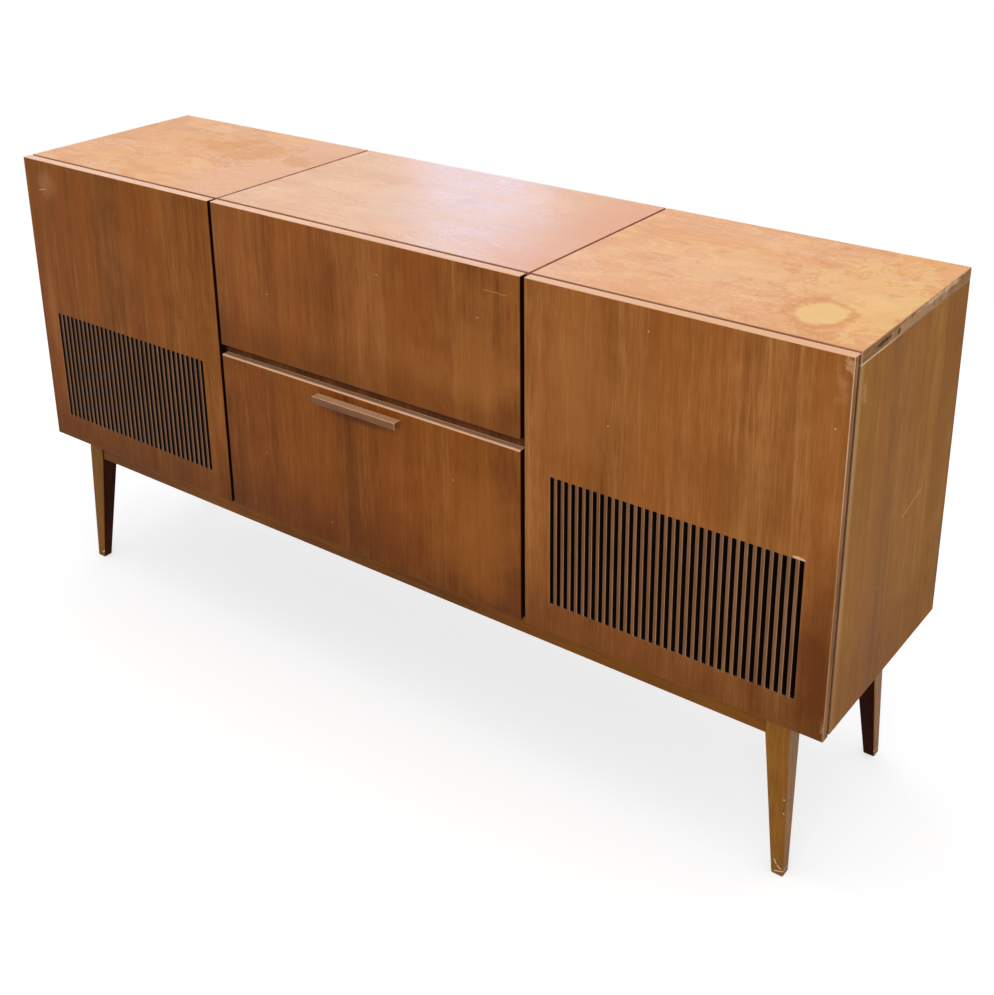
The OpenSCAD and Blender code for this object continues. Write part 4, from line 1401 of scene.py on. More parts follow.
@dataclass
class FlapBoard(VeneeredBoard):
    """The flap, with a rounded worn top edge, pale partly with a painted highlight, and a tongue behind it
    that closes the gap.

    Attributes:
        tongue: Thickness of the tongue.
        step: Height of the tongue above the flap.
        round: Radius of the worn top edge.
    """

    tongue: float = 5 * MM
    step: float = 16 * MM
    round: float = 3 * MM

    def make(self, materials: Sequence[Material]) -> None:
        """Build the flap.

        Args:
            materials: Its finishes in the order of Slot, the tongue's under WALL.
        """
        low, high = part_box(self.node)
        top, tongue_y = high.z - self.step, high.y - self.tongue
        section = [(low.y, low.z), (low.y, top), (tongue_y, top), (tongue_y, high.z), (high.y, high.z),
                   (high.y, low.z)]
        bm = extruded(section, low.x, high.x)
        worn = [e for e in bm.edges if all(abs(v.co.y - low.y) + abs(v.co.z - top) < 1e-5 for v in e.verts)]
        bmesh.ops.bevel(bm, geom=worn, offset=self.round, segments=5, profile=0.5, affect="EDGES")
        soften(bm, self.arris * 0.8, 2, 1.2)

        def choose(normal: Vector, middle: Vector) -> int:
            """Pick the slot of a face; the tongue takes painted shade, darker than the flap."""
            if middle.z > top + 1 * MM:
                return Slot.WALL.value
            if normal.z > SQUARE or middle.y > tongue_y - 2 * MM and normal.z > BARELY:
                return Slot.ARRIS.value
            if middle.z > top - self.round * 1.1 and normal.z > BARELY:
                return Slot.TOP.value
            return self.choose(normal, middle)

        self.add(bm, choose, materials)


@dataclass
class Fronts:
    """The two slotted fronts, the fixed upper front and the flap.

    Attributes:
        face: Front face of the fronts.
        shadow: Heights between which the darker tone at their foot fades.
    """

    face: float = -0.2096
    shadow: tuple[float, float] = (0.30, 0.45)

    def low_shade(self, lit: Lit) -> Wash:
        """Give the painted shade along the foot of a front."""
        return Wash(Axis.UP, self.shadow[0], self.shadow[1], lit.wood(66, 36, 15), 0.46, 0.2)

    def left_marks(self) -> Marks:
        """Describe the wear of the left front and the painted shade at its foot."""
        y, lit = self.face, LEFT_LIT
        return (
            self.low_shade(lit),
            Patch((-0.814, y, 0.852), (0.036, 0.02, 0.036), lit.wood(184, 134, 98), 0.26, 0.5, 16.0, 0.9),
            Patch((-0.845, y, 0.60), (0.018, 0.02, 0.20), lit.wood(162, 104, 62), 0.35, 0.6, 12.0, 0.9),
            Patch((-0.60, y, 0.74), (0.09, 0.02, 0.10), lit.wood(152, 96, 54), 0.30, 0.8, 9.0, 0.9),
            Scratch((-0.842, y, 0.836), (-0.815, y, 0.841), Axis.DEEP, lit.wood(226, 190, 156), 0.9 * MM,
                    0.6),
            Specks(((-0.52, y, 0.81), (-0.44, y, 0.66), (-0.71, y, 0.70)), lit.wood(206, 160, 118),
                   1.6 * MM, 0.5))

    def right_marks(self) -> Marks:
        """Describe the wear of the right front and the painted shade at its foot."""
        y, lit = self.face, RIGHT_LIT
        return (
            self.low_shade(lit),
            Patch((0.873, y, 0.887), (0.009, 0.02, 0.015), lit.wood(206, 160, 122), 0.5, 1.0, 110.0, 0.8),
            Patch((0.86, y, 0.42), (0.06, 0.02, 0.26), lit.wood(92, 50, 21), 0.85, 0.3, 8.0, 0.9),
            Patch((0.862, y, 0.850), (0.013, 0.02, 0.032), lit.wood(190, 138, 100), 0.32, 0.8, 40.0, 0.9),
            Patch((0.45, y, 0.76), (0.10, 0.02, 0.16), lit.wood(164, 108, 62), 0.35, 0.7, 8.0, 0.9),
            Patch((0.69, y, 0.66), (0.12, 0.02, 0.12), lit.wood(118, 72, 36), 0.30, 0.7, 8.0, 0.9),
            Patch((0.876, y, 0.316), (0.006, 0.02, 0.014), lit.wood(190, 142, 100), 0.35, 0.9, 110.0, 0.8),
            Patch((0.821, y, 0.578), (0.012, 0.02, 0.004), lit.wood(226, 188, 148), 0.7, 0.5, 90.0, 0.4),
            Scratch((0.772, y, 0.574), (0.772, y, 0.545), Axis.DEEP, lit.wood(222, 182, 144), 1.4 * MM, 0.6),
            Specks(((0.567, y, 0.861), (0.502, y, 0.693), (0.858, y, 0.789)), lit.wood(230, 190, 150)))

    def upper_marks(self) -> Marks:
        """Describe the wear of the upper front."""
        y, lit = self.face, MIDDLE_LIT
        return (
            Wash(Axis.UP, 0.63, 0.72, lit.wood(100, 58, 30), 0.6, 0.3),
            Patch((-0.10, y, 0.78), (0.12, 0.02, 0.08), lit.wood(108, 62, 30), 0.35, 0.6, 10.0, 0.9),
            Patch((0.25, y, 0.72), (0.13, 0.02, 0.16), lit.wood(162, 104, 54), 0.50, 0.6, 10.0, 0.9),
            Scratch((0.265, y, 0.861), (0.319, y, 0.861), Axis.DEEP, lit.wood(196, 148, 106), 0.9 * MM, 0.5),
            Specks(((0.258, y, 0.812), (-0.21, y, 0.75), (0.05, y, 0.84)), lit.wood(222, 180, 140)))

    def flap_marks(self) -> Marks:
        """Describe the wear of the flap, the painted shade at its foot and the painted shadow under the pull.
        """
        y, lit = self.face, MIDDLE_LIT
        return (
            self.low_shade(lit),
            Patch((0.25, y, 0.42), (0.13, 0.02, 0.19), lit.wood(156, 95, 46), 0.52, 0.5, 9.0, 0.9),
            # A dark band just under the pull: painted shadow of the pull.
            Patch((-0.004, y, 0.562), (0.105, 0.02, 0.012), lit.wood(60, 30, 14), 0.5, 0.1, 20.0, 0.9),
            Specks(((0.202, y, 0.510), (-0.082, y, 0.336), (-0.24, y, 0.43)), lit.wood(214, 170, 128)))

    def build(self) -> None:
        """Build the four fronts with their own veneers."""
        common = [use(GAP_SHADE), use(ARRIS), use(LIPPING), use(END_EDGE), use(INNER)]
        veneers = {
            "left": front_veneer("left_front_veneer", 1.0, LEFT_LIT, (
                (90, 50, 20), (126, 75, 34), (154, 99, 52), (138, 76, 31)), self.left_marks()),
            "right": front_veneer("right_front_veneer", 2.0, RIGHT_LIT, (
                (108, 62, 29), (142, 89, 46), (174, 118, 68), (152, 88, 42)), self.right_marks()),
            "upper": front_veneer("upper_front_veneer", 3.0, MIDDLE_LIT, (
                (96, 54, 25), (133, 80, 41), (162, 108, 62), (142, 80, 37)), self.upper_marks()),
            "flap": front_veneer("flap_veneer", 3.6, MIDDLE_LIT, (
                (86, 47, 19), (122, 70, 32), (152, 97, 50), (134, 72, 31)), self.flap_marks())}
        slats = {
            "left": front_veneer("left_slats", 1.0, LEFT_LIT, (
                (62, 44, 34), (88, 63, 50), (110, 82, 64), (92, 64, 48)), ()),
            "right": front_veneer("right_slats", 2.0, RIGHT_LIT, (
                (88, 60, 40), (116, 81, 56), (142, 104, 74), (122, 82, 54)), ())}
        walls, slot = use(SLOT_WALL_SHADE), "front_veneer"
        for side, outer in (("left", -1), ("right", 1)):
            SlottedFront(f"{side}_front_panel", "cabinet", slot, Axis.DEEP, outer).make(
                [use(veneers[side]), *common, walls, use(slats[side])])
        VeneeredBoard("upper_front_panel", "cabinet", slot, Axis.DEEP).make([use(veneers["upper"]), *common])
        FlapBoard("flap_door", "record_flap", slot, Axis.DEEP).make(
            [use(veneers["flap"]), use(GAP_SHADE), use(FLAP_TOP), use(FLAP_ARRIS_WEAR_AND_HIGHLIGHT), use(END_EDGE),
             use(FLAP_INSIDE), use(TONGUE_SHADE)])
        self.pull()

    def pull(self) -> None:
        """Build the pull with a rounded lip."""
        low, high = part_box("flap_pull")
        lip = 5.5 * MM
        bm = extruded([(high.y, high.z), (low.y, high.z), (low.y, low.z), (low.y + lip, low.z),
                       (low.y + lip, high.z - lip), (high.y, high.z - lip)], low.x, high.x)
        soften(bm, 1.1 * MM, 3)

        def choose(normal: Vector, middle: Vector) -> int:
            """Pick the slot of a face: the front, the top, or the arris between them, pale with wear and a
            painted highlight.
            """
            if normal.z > SQUARE:
                return 1
            return 2 if normal.z > LEANING > normal.y or LEANING < normal.x < SQUARE else 0

        sort_faces(bm, choose)
        add_piece("flap_pull_wood", bm, [use(PULL_WOOD), use(PULL_TOP), use(PULL_ARRIS_WEAR_AND_HIGHLIGHT)], "record_flap",
                  "pull_wood", ["flap_pull"])


@dataclass
class Tops:
    """The three hinged tops, each with its own wear; the centre top also has a painted reflection.

    Attributes:
        face: Height of the top.
        end: Right end of the right top.
    """

    face: float = 0.898
    end: float = 0.878

    def veneer(self, name: str, seed: float, shades: Sequence[Shade], marks: Marks,
               **changes: float) -> Veneer:
        """Describe the veneer of one top.

        Args:
            name: Name of the finish.
            seed: Shift of its pattern.
            shades: Dark, middle, pale and red tones as seen.
            marks: Its worn places, and on the centre top a painted reflection.
            changes: Other values of the veneer.

        Returns:
            The veneer.
        """
        dark, middle, light, warm = ON_TOP.woods(*shades)
        values: dict[str, object] = {"contrast": 0.6, "swirl": 1.0, "rough": 0.34, "gloss": 0.5,
                                     "clouds": 0.95, "cloud_colour": light, "cloud_size": 17.0, "curls": 0.6,
                                     "curl_colour": ON_TOP.wood(250, 214, 182), "scuffs": 0.35, **changes}
        return Veneer(name, Axis.ALONG, dark, middle, light, warm, seed=seed, marks=marks, **values)

    def left_top(self) -> Veneer:
        """Describe the left top."""
        z, wood = self.face, ON_TOP.wood
        shades = ((210, 142, 88), (236, 170, 120), (248, 196, 150), (238, 163, 106))
        return self.veneer("left_top_veneer", 11.0, shades, (
            Wash(Axis.ALONG, -0.36, -0.58, wood(242, 194, 168), 0.7, 0.3),
            Patch((-0.66, -0.09, z), (0.13, 0.06, 0.02), wood(248, 196, 142), 0.45, 1.3, 20.0, 0.4),
            Patch((-0.74, 0.05, z), (0.08, 0.09, 0.02), wood(248, 200, 152), 0.40, 1.4, 24.0, 0.3),
            Patch((-0.52, 0.08, z), (0.16, 0.07, 0.02), wood(222, 158, 106), 0.40, 1.2, 18.0, 0.5)))

    def centre_top(self) -> Veneer:
        """Describe the centre top."""
        z, wood = self.face, ON_TOP.wood
        shades = ((216, 152, 108), (240, 188, 150), (250, 204, 170), (242, 178, 134))
        return self.veneer("centre_top_veneer", 12.0, shades, (
            Wash(Axis.ALONG, 0.33, 0.12, wood(238, 172, 138), 0.75, 0.3),
            # A pale patch over the middle of the centre top: painted reflection of the window's sheen.
            Patch((0.0, -0.04, z), (0.18, 0.14, 0.02), wood(240, 206, 190), 0.35, 0.4, 8.0, 0.9),
            Patch((-0.22, 0.08, z), (0.10, 0.06, 0.02), wood(232, 182, 138), 0.35, 0.8, 14.0, 0.9)),
            clouds=0.6, rough=0.26)

    def right_top(self) -> Veneer:
        """Describe the right top, which is the most stained."""
        z, wood = self.face, ON_TOP.wood
        pale = wood(252, 212, 152)
        shades = ((208, 138, 82), (241, 176, 128), (250, 196, 146), (239, 166, 104))
        return self.veneer("right_top_veneer", 13.0, shades, (
            Wash(Axis.ALONG, 0.84, 0.62, wood(244, 180, 122), 0.55, 0.3),
            Patch((0.80, 0.06, z), (0.10, 0.11, 0.02), pale, 0.42, 1.5, 22.0, 0.16),
            Patch((0.79, 0.02, z), (0.12, 0.15, 0.02), wood(222, 156, 98), 0.45, 1.5, 30.0, 0.2, True),
            Patch((0.850, -0.030, z), (0.045, 0.100, 0.02), pale, 0.5, 1.3, 26.0, 0.2),
            Patch((0.775, -0.092, z), (0.038, 0.046, 0.02), pale, 0.80, 0.22, 32.0, 0.16),
            Patch((0.775, -0.092, z), (0.048, 0.058, 0.02), wood(216, 150, 94), 0.40, 0.3, 24.0, 0.25, True),
            Patch((0.60, 0.02, z), (0.12, 0.09, 0.02), wood(252, 206, 158), 0.45, 1.2, 18.0, 0.4)),
            curls=0.42)

    def right_end(self) -> Veneer:
        """Describe the chipped right end of the right top."""
        x, wood = self.end, SIDE_LIT.wood
        marks = (
            Patch((x, 0.02, 0.886), (0.01, 0.14, 0.012), wood(186, 152, 118), 0.5, 1.0, 45.0, 0.6),
            Patch((x, 0.10, 0.894), (0.01, 0.10, 0.004), wood(226, 192, 156), 0.6, 1.0, 60.0, 0.5),
            Patch((x, -0.113, 0.888), (0.01, 0.037, 0.004), wood(60, 30, 36), 0.8, 0.6, 80.0, 0.5),
            Patch((x, -0.062, 0.886), (0.01, 0.007, 0.005), wood(34, 20, 18), 0.9, 0.5, 120.0, 0.4))
        return Veneer("right_top_end", Axis.DEEP, wood(98, 66, 42), wood(136, 97, 62), wood(170, 130, 92),
                      seed=14.0, gloss=0.08, clouds=0.5, cloud_colour=wood(160, 120, 84), cloud_size=26.0,
                      scuffs=0.5, marks=marks)

    def build(self) -> None:
        """Build the three tops."""
        gap, arris, under = use(LID_SEAM), use(TOP_ARRIS), use(LID_UNDER)
        end = use(self.right_end())
        finishes = {"left": self.left_top(), "centre": self.centre_top(), "right": self.right_top()}
        for side, outer in (("left", -1), ("centre", 0), ("right", 1)):
            VeneeredBoard(f"{side}_lid", f"{side}_top", "top_veneer", Axis.UP, outer).make(
                [use(finishes[side]), gap, arris, gap, end, under])


@dataclass
class Sides:
    """The two side panels.

    Attributes:
        face: Right face of the cabinet.
    """

    face: float = 0.878

    def marks(self) -> Marks:
        """Describe the wear of the right side."""
        x, wood = self.face, SIDE_LIT.wood
        pale, faint = wood(208, 166, 124), wood(176, 136, 88)
        return (
            Wash(Axis.DEEP, -0.18, -0.11, wood(156, 112, 64), 0.5, 0.3),
            Wash(Axis.DEEP, -0.185, -0.172, wood(178, 140, 100), 0.8, 0.3),
            Wash(Axis.DEEP, 0.21, 0.02, wood(110, 72, 36), 0.35, 0.4),
            Wash(Axis.UP, 0.30, 0.50, wood(92, 58, 28), 0.35, 0.3),
            Patch((x, -0.166, 0.832), (0.02, 0.010, 0.024), wood(196, 152, 116), 0.4, 0.8, 40.0, 0.8),
            Scratch((x, -0.106, 0.84), (x, -0.110, 0.42), Axis.ALONG, faint, 1.2 * MM, 0.4, 3 * MM),
            Scratch((x, -0.098, 0.86), (x, -0.102, 0.46), Axis.ALONG, faint, 1.0 * MM, 0.4, 3 * MM),
            Scratch((x, 0.06, 0.80), (x, 0.056, 0.36), Axis.ALONG, wood(164, 122, 76), 1.2 * MM, 0.35,
                    3 * MM),
            Scratch((x, 0.021, 0.553), (x, 0.106, 0.575), Axis.ALONG, pale, 1.3 * MM, 0.75, 2 * MM),
            Specks(((x, 0.127, 0.604), (x, -0.05, 0.47), (x, 0.14, 0.72)), pale))

    def build(self) -> None:
        """Build both sides."""
        dark, middle, light, warm = (SIDE_LIT.wood(*c) for c in ((106, 66, 28), (145, 97, 44),
                                                                 (178, 130, 72), (152, 98, 42)))
        base = {"gloss": 0.06, "contrast": 0.75, "clouds": 0.16, "cloud_colour": light, "scuffs": 0.3,
                "cloud_size": 6.0}
        right = Veneer("right_side_veneer", Axis.UP, dark, middle, light, warm, seed=21.0,
                       marks=self.marks(), **base)
        left = Veneer("left_side_veneer", Axis.UP, dark, middle, light, warm, seed=22.0, **base)
        seam = use(Veneer("side_top_arris", Axis.DEEP, SIDE_LIT.wood(120, 84, 52),
                          SIDE_LIT.wood(150, 112, 74), SIDE_LIT.wood(190, 150, 112), seed=23.0, marks=(
                              Wash(Axis.DEEP, -0.12, -0.02, SIDE_LIT.wood(240, 206, 170), 0.85, 0.3),)))
        for side, finish, outer in (("right", right, 1), ("left", left, -1)):
            veneer, inside = use(finish), use(INNER_UPRIGHT)
            VeneeredBoard(f"{side}_side_panel", "cabinet", "side_veneer", Axis.ALONG, outer, 1.6 * MM).make(
                [veneer, inside, veneer, seam, veneer, inside])


@dataclass
class LegFrame:
    """The four tapered legs, which splay outwards, and the rails between them.

    Attributes:
        top: Width of a leg at its top.
        foot: Width of a leg at its foot.
        rail: Height of the rails.
        splay: How far a foot stands out sideways.
        rake: How far a foot stands out to the front or back.
        arris: Rounding of the legs' edges.
    """

    top: float = 38 * MM
    foot: float = 20 * MM
    rail: float = 47 * MM
    splay: float = 10 * MM
    rake: float = 6 * MM
    arris: float = 2.6 * MM

    def leg(self, node: str) -> None:
        """Build one leg, straight outside and tapered on its two inner faces.

        Args:
            node: The node that it takes the place of.
        """
        low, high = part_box(node)
        to_x, to_y = (1 if low.x > 0 else -1), (-1 if low.y < 0 else 1)
        foot_x, foot_y = (high.x if to_x > 0 else low.x), (high.y if to_y > 0 else low.y)
        height = high.z - low.z
        bm = bmesh.new()
        rings = []
        for z in (low.z, high.z - self.rail, high.z):
            rise = (z - low.z) / height
            outer_x, outer_y = foot_x - to_x * self.splay * rise, foot_y - to_y * self.rake * rise
            inner_x = foot_x - to_x * (self.splay + self.top)
            inner_y = foot_y - to_y * (self.rake + self.top)
            if z == low.z:
                inner_x, inner_y = foot_x - to_x * self.foot, foot_y - to_y * self.foot
            corners = ((outer_x, outer_y), (inner_x, outer_y), (inner_x, inner_y), (outer_x, inner_y))
            rings.append([bm.verts.new((x, y, z)) for x, y in corners])
        bm.faces.new(rings[0])
        bm.faces.new(rings[-1])
        for lower, upper in zip(rings, rings[1:]):
            for i in range(4):
                k = (i + 1) % 4
                bm.faces.new([lower[i], lower[k], upper[k], upper[i]])
        bmesh.ops.recalc_face_normals(bm, faces=bm.faces)
        soften(bm, self.arris, 3, 0.9)
        # The inner faces take the darker copy of the wood as painted shade.
        sort_faces(bm, lambda normal, middle: 1 if normal.x * to_x < -0.8 or normal.y * to_y < -0.8 else 0)
        add_piece(f"{node}_wood", bm, [use(LEG_WOOD), use(LEG_INNER_SHADE)], "cabinet", "leg_wood", [node])

    def build(self) -> None:
        """Build legs and rails."""
        for node in ("front_left_leg", "front_right_leg", "back_left_leg", "back_right_leg"):
            self.leg(node)
        for node in ("front_rail", "rear_rail"):
            VeneeredBoard(node, "cabinet", "rail_wood", Axis.DEEP, 0, 1.5 * MM).make([use(RAIL_WOOD)] * 6)
        dress("cross_rails", use(RAIL_WOOD))


@dataclass
class Carcass:
    """The inner boards, the back with its screws, and the packing.

    Attributes:
        screw_radius: Radius of a screw's head.
        screw_inset: Distance of the screws from the edge of the back.
    """

    screw_radius: float = 3.6 * MM
    screw_inset: float = 12 * MM

    def back_screws(self) -> None:
        """Put a row of screws round the back."""
        low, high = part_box("back_panel")
        inset, chance = self.screw_inset, random.Random(7)
        across = [low.x + inset + (high.x - low.x - 2 * inset) * i / 11 for i in range(12)]
        upward = [low.z + inset + (high.z - low.z - 2 * inset) * i / 4 for i in range(1, 4)]
        places = [(x, z) for x in across for z in (low.z + inset, high.z - inset)]
        places += [(x, z) for x in (low.x + inset, high.x - inset) for z in upward]
        heads = [screw_head(self.screw_radius, (x, high.y, z), Axis.DEEP, chance.uniform(0, math.pi))
                 for x, z in places]
        total = joined(heads)
        smooth_round(total)
        add_piece("back_screws", total, [use(NICKEL)], "cabinet", "stay_steel")

    def build(self) -> None:
        """Dress the inner pieces."""
        for node in ("bottom_panel", "record_shelf", "deck_board", "well_floors", "front_top_rail",
                     "rear_top_rail"):
            dress(node, use(INNER))
        for node in ("partitions", "record_dividers"):
            dress(node, use(INNER_UPRIGHT))
        dress("back_panel", use(HARDBOARD))
        dress("packing_strips", use(PACKING_SHADE))
        self.back_screws()


@dataclass
class Loudspeakers:
    """Baffles, cloth and drivers behind the slots."""

    def build(self) -> None:
        """Dress the loudspeakers."""
        dress("baffles", use(BAFFLE))
        dress("speaker_cloths", use(CLOTH))
        dress("woofer_frames", use(BASKET))
        dress("woofer_cones", use(CONE))
        dress("tweeters", use(BASKET))


@dataclass
class Fittings:
    """Hinges with their screws, stays, studs and the catch.

    Attributes:
        screw_radius: Radius of a hinge screw's head.
        leaf_back: Outer face of the leaves on the back.
        back_from: Depth past which a solid lies at the back.
        leaf_width: Least width of a leaf.
    """

    screw_radius: float = 2.6 * MM
    leaf_back: float = 0.2219
    back_from: float = 0.2
    leaf_width: float = 40 * MM

    def leaf_screws(self, node: str, body: str, from_edge: float, upper: bool) -> None:
        """Put three screws on each leaf at the back.

        Args:
            node: The node with the leaves.
            body: The body that carries it.
            from_edge: Distance of the screws from the leaf's free edge.
            upper: Whether the free edge is the upper one.
        """
        chance = random.Random(len(node))
        heads = []
        for low, high in islands(node):
            if low.y < self.back_from or high.x - low.x < self.leaf_width:
                continue
            z = high.z - from_edge if upper else low.z + from_edge
            for share in (0.16, 0.5, 0.84):
                place = (low.x + (high.x - low.x) * share, self.leaf_back, z)
                heads.append(screw_head(self.screw_radius, place, Axis.DEEP, chance.uniform(0, math.pi)))
        total = joined(heads)
        smooth_round(total)
        name = f"{node}_screws"
        add_piece(name, total, [use(BRASS)], body, "brass_fittings")

    def build(self) -> None:
        """Dress the fittings and screw the hinges on."""
        for node in ("fixed_hinge_leaves", "flap_fittings", "left_lid_fittings", "centre_lid_fittings",
                     "right_lid_fittings"):
            dress(node, use(BRASS))
        for node in ("stay_studs", "flap_stay", "left_lid_stay", "centre_lid_stay", "right_lid_stay"):
            dress(node, use(NICKEL))
        dress("flap_catch", use(IVORY))
        self.leaf_screws("fixed_hinge_leaves", "cabinet", 9 * MM, False)
        for side in ("left", "centre", "right"):
            self.leaf_screws(f"{side}_lid_fittings", f"{side}_top", 4.5 * MM, True)


@dataclass
class RecordPlayer:
    """Deck plate, turntable with a ribbed mat, pickup arm, and lever with its numerals.

    Attributes:
        rib_pitch: Distance from rib to rib of the mat.
        rib_height: Height of the ribs.
        arm_length: Length of the arm from its pivot to the middle of the head.
        head: Length, width and height of the head.
        tube: Radius of the arm's tube.
        speeds: Speeds of the lever, and its angle at each.
        plate_top: Height of the deck plate.
    """

    rib_pitch: float = 4.2 * MM
    rib_height: float = 0.9 * MM
    arm_length: float = 225 * MM
    head: Point = (38 * MM, 21 * MM, 8 * MM)
    tube: float = 4.5 * MM
    speeds: tuple[tuple[str, float], ...] = (("78", 0.0), ("45", 30.0), ("33", 60.0))
    plate_top: float = 0.759

    def mat(self) -> None:
        """Build the mat with its ribs."""
        low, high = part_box("platter_mat")
        middle = (low + high) / 2
        radius = (high.x - low.x) / 2
        base, rise, hole = high.z - low.z - self.rib_height, self.rib_height, 4.0 * MM
        profile = [(hole, 0.0), (radius, 0.0), (radius, base)]
        reach = radius - 3 * MM
        while reach > 46 * MM:
            profile += [(reach, base), (reach - 0.7 * MM, base + rise), (reach - 1.9 * MM, base + rise),
                        (reach - 2.6 * MM, base)]
            reach -= self.rib_pitch
        profile += [(hole, base), (hole, 0.0)]
        bm = lathe(profile, 128)
        move(bm, (middle.x, middle.y, low.z))
        smooth_round(bm, 0.4)
        add_piece("ribbed_mat", bm, [use(RUBBER)], "turntable", "mat_rubber", ["platter_mat"])

    def arm(self) -> None:
        """Build the pickup arm: tube, balance weight, head and cartridge."""
        low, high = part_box("tonearm")
        x, y, z = (low.x + high.x) / 2, high.y - 40 * MM, high.z - 12 * MM
        arm = self.arm_length
        length, width, height = self.head
        r, t = 12 * MM, self.tube
        weight = [(0.0, 0.0), (r - 1.5 * MM, 0.0), (r, 1.5 * MM)]
        for groove in range(6):
            start = (4 + groove * 2.2) * MM
            weight += [(r, start), (r - 0.5 * MM, start + 0.5 * MM), (r, start + 1.0 * MM)]
        weight += [(r, 24.5 * MM), (r - 1.5 * MM, 26 * MM), (0.0, 26 * MM)]
        tube = [(0.0, 0.0), (t, 0.0), (t, arm - length / 2), (0.0, arm - length / 2)]
        pin = [(0.0, 0.0), (1.4 * MM, 0.0), (1.4 * MM, 22 * MM), (0.0, 22 * MM)]
        steel = [turned(tube, (x, y - arm + length / 2, z), Axis.DEEP),
                 turned([(0.0, 0.0), (3 * MM, 0.0), (3 * MM, 10 * MM), (0.0, 10 * MM)], (x, y + 8 * MM, z),
                        Axis.DEEP),
                 turned(weight, (x, y + 14 * MM, z), Axis.DEEP, 64),
                 turned(pin, (x - 11 * MM, y, z), Axis.ALONG, 24),
                 chamfered((x - 8 * MM, y - 7 * MM, z - 6 * MM), (x + 8 * MM, y + 9 * MM, z + 6 * MM),
                           1.5 * MM)]
        total = joined(steel)
        smooth_round(total, 0.5)
        add_piece("pickup_arm_steel", total, [use(CHROME)], "pickup_arm", "arm_metal", ["tonearm"])
        front = y - arm
        shell = joined([
            chamfered((x - width / 2, front - length / 2, z - height / 2),
                      (x + width / 2, front + length / 2,
                                                                            z + height / 2), 2.2 * MM),
            chamfered((x + width / 2 - 1 * MM, front - length * 0.45, z),
                      (x + width / 2 + 1.4 * MM, front - length * 0.1,
                                                                          z + height / 2), 0.6 * MM)])
        add_piece("pickup_head", shell, [use(CREAM)], "pickup_arm", "cream_plastic")
        under = joined([
            chamfered((x - width / 3, front - length / 3, z - height / 2 - 9 * MM),
                      (x + width / 3, front + length / 3, z - height / 2 + 0.6 * MM), 1.0 * MM),
            chamfered((x - 2 * MM, front - length / 3 + 2 * MM, z - height / 2 - 12 * MM),
                      (x + 2 * MM, front - length / 3 + 8 * MM, z - height / 2 - 8.5 * MM), 0.5 * MM)])
        add_piece("pickup_cartridge", under, [use(RUBBER)], "pickup_arm", "mat_rubber")

    def speed_marks(self) -> None:
        """Set the numerals of the speeds round the lever."""
        low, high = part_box("speed_lever")
        pivot = Vector(((low.x + high.x) / 2, high.y - 11 * MM, 0.0))
        reach = 31.5 * MM
        parts = []
        for text, degrees in self.speeds:
            angle = math.radians(degrees)
            place = (pivot.x + reach * math.sin(angle), pivot.y - reach * math.cos(angle),
                     self.plate_top + 0.04 * MM)
            parts.append(lettering(text, 5 * MM, place))
        total = joined(parts)
        add_piece("speed_numerals", total, [use(DARK_INK)], "cabinet", "deck_enamel")

    def build(self) -> None:
        """Build and dress the player."""
        dress("deck_plate", use(DECK))
        low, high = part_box("platter")
        dress("platter", use(Metal("turned_platter", paint(198, 198, 200), paint(176, 176, 176),
                                   Working.TURNED, 0.26, ((low.x + high.x) / 2, (low.y + high.y) / 2))))
        self.mat()
        self.arm()
        self.speed_marks()
        dress("tonearm_pivot", use(CHROME))
        dress("speed_lever", use(CREAM))
        dress("deck_motor", use(BASKET))


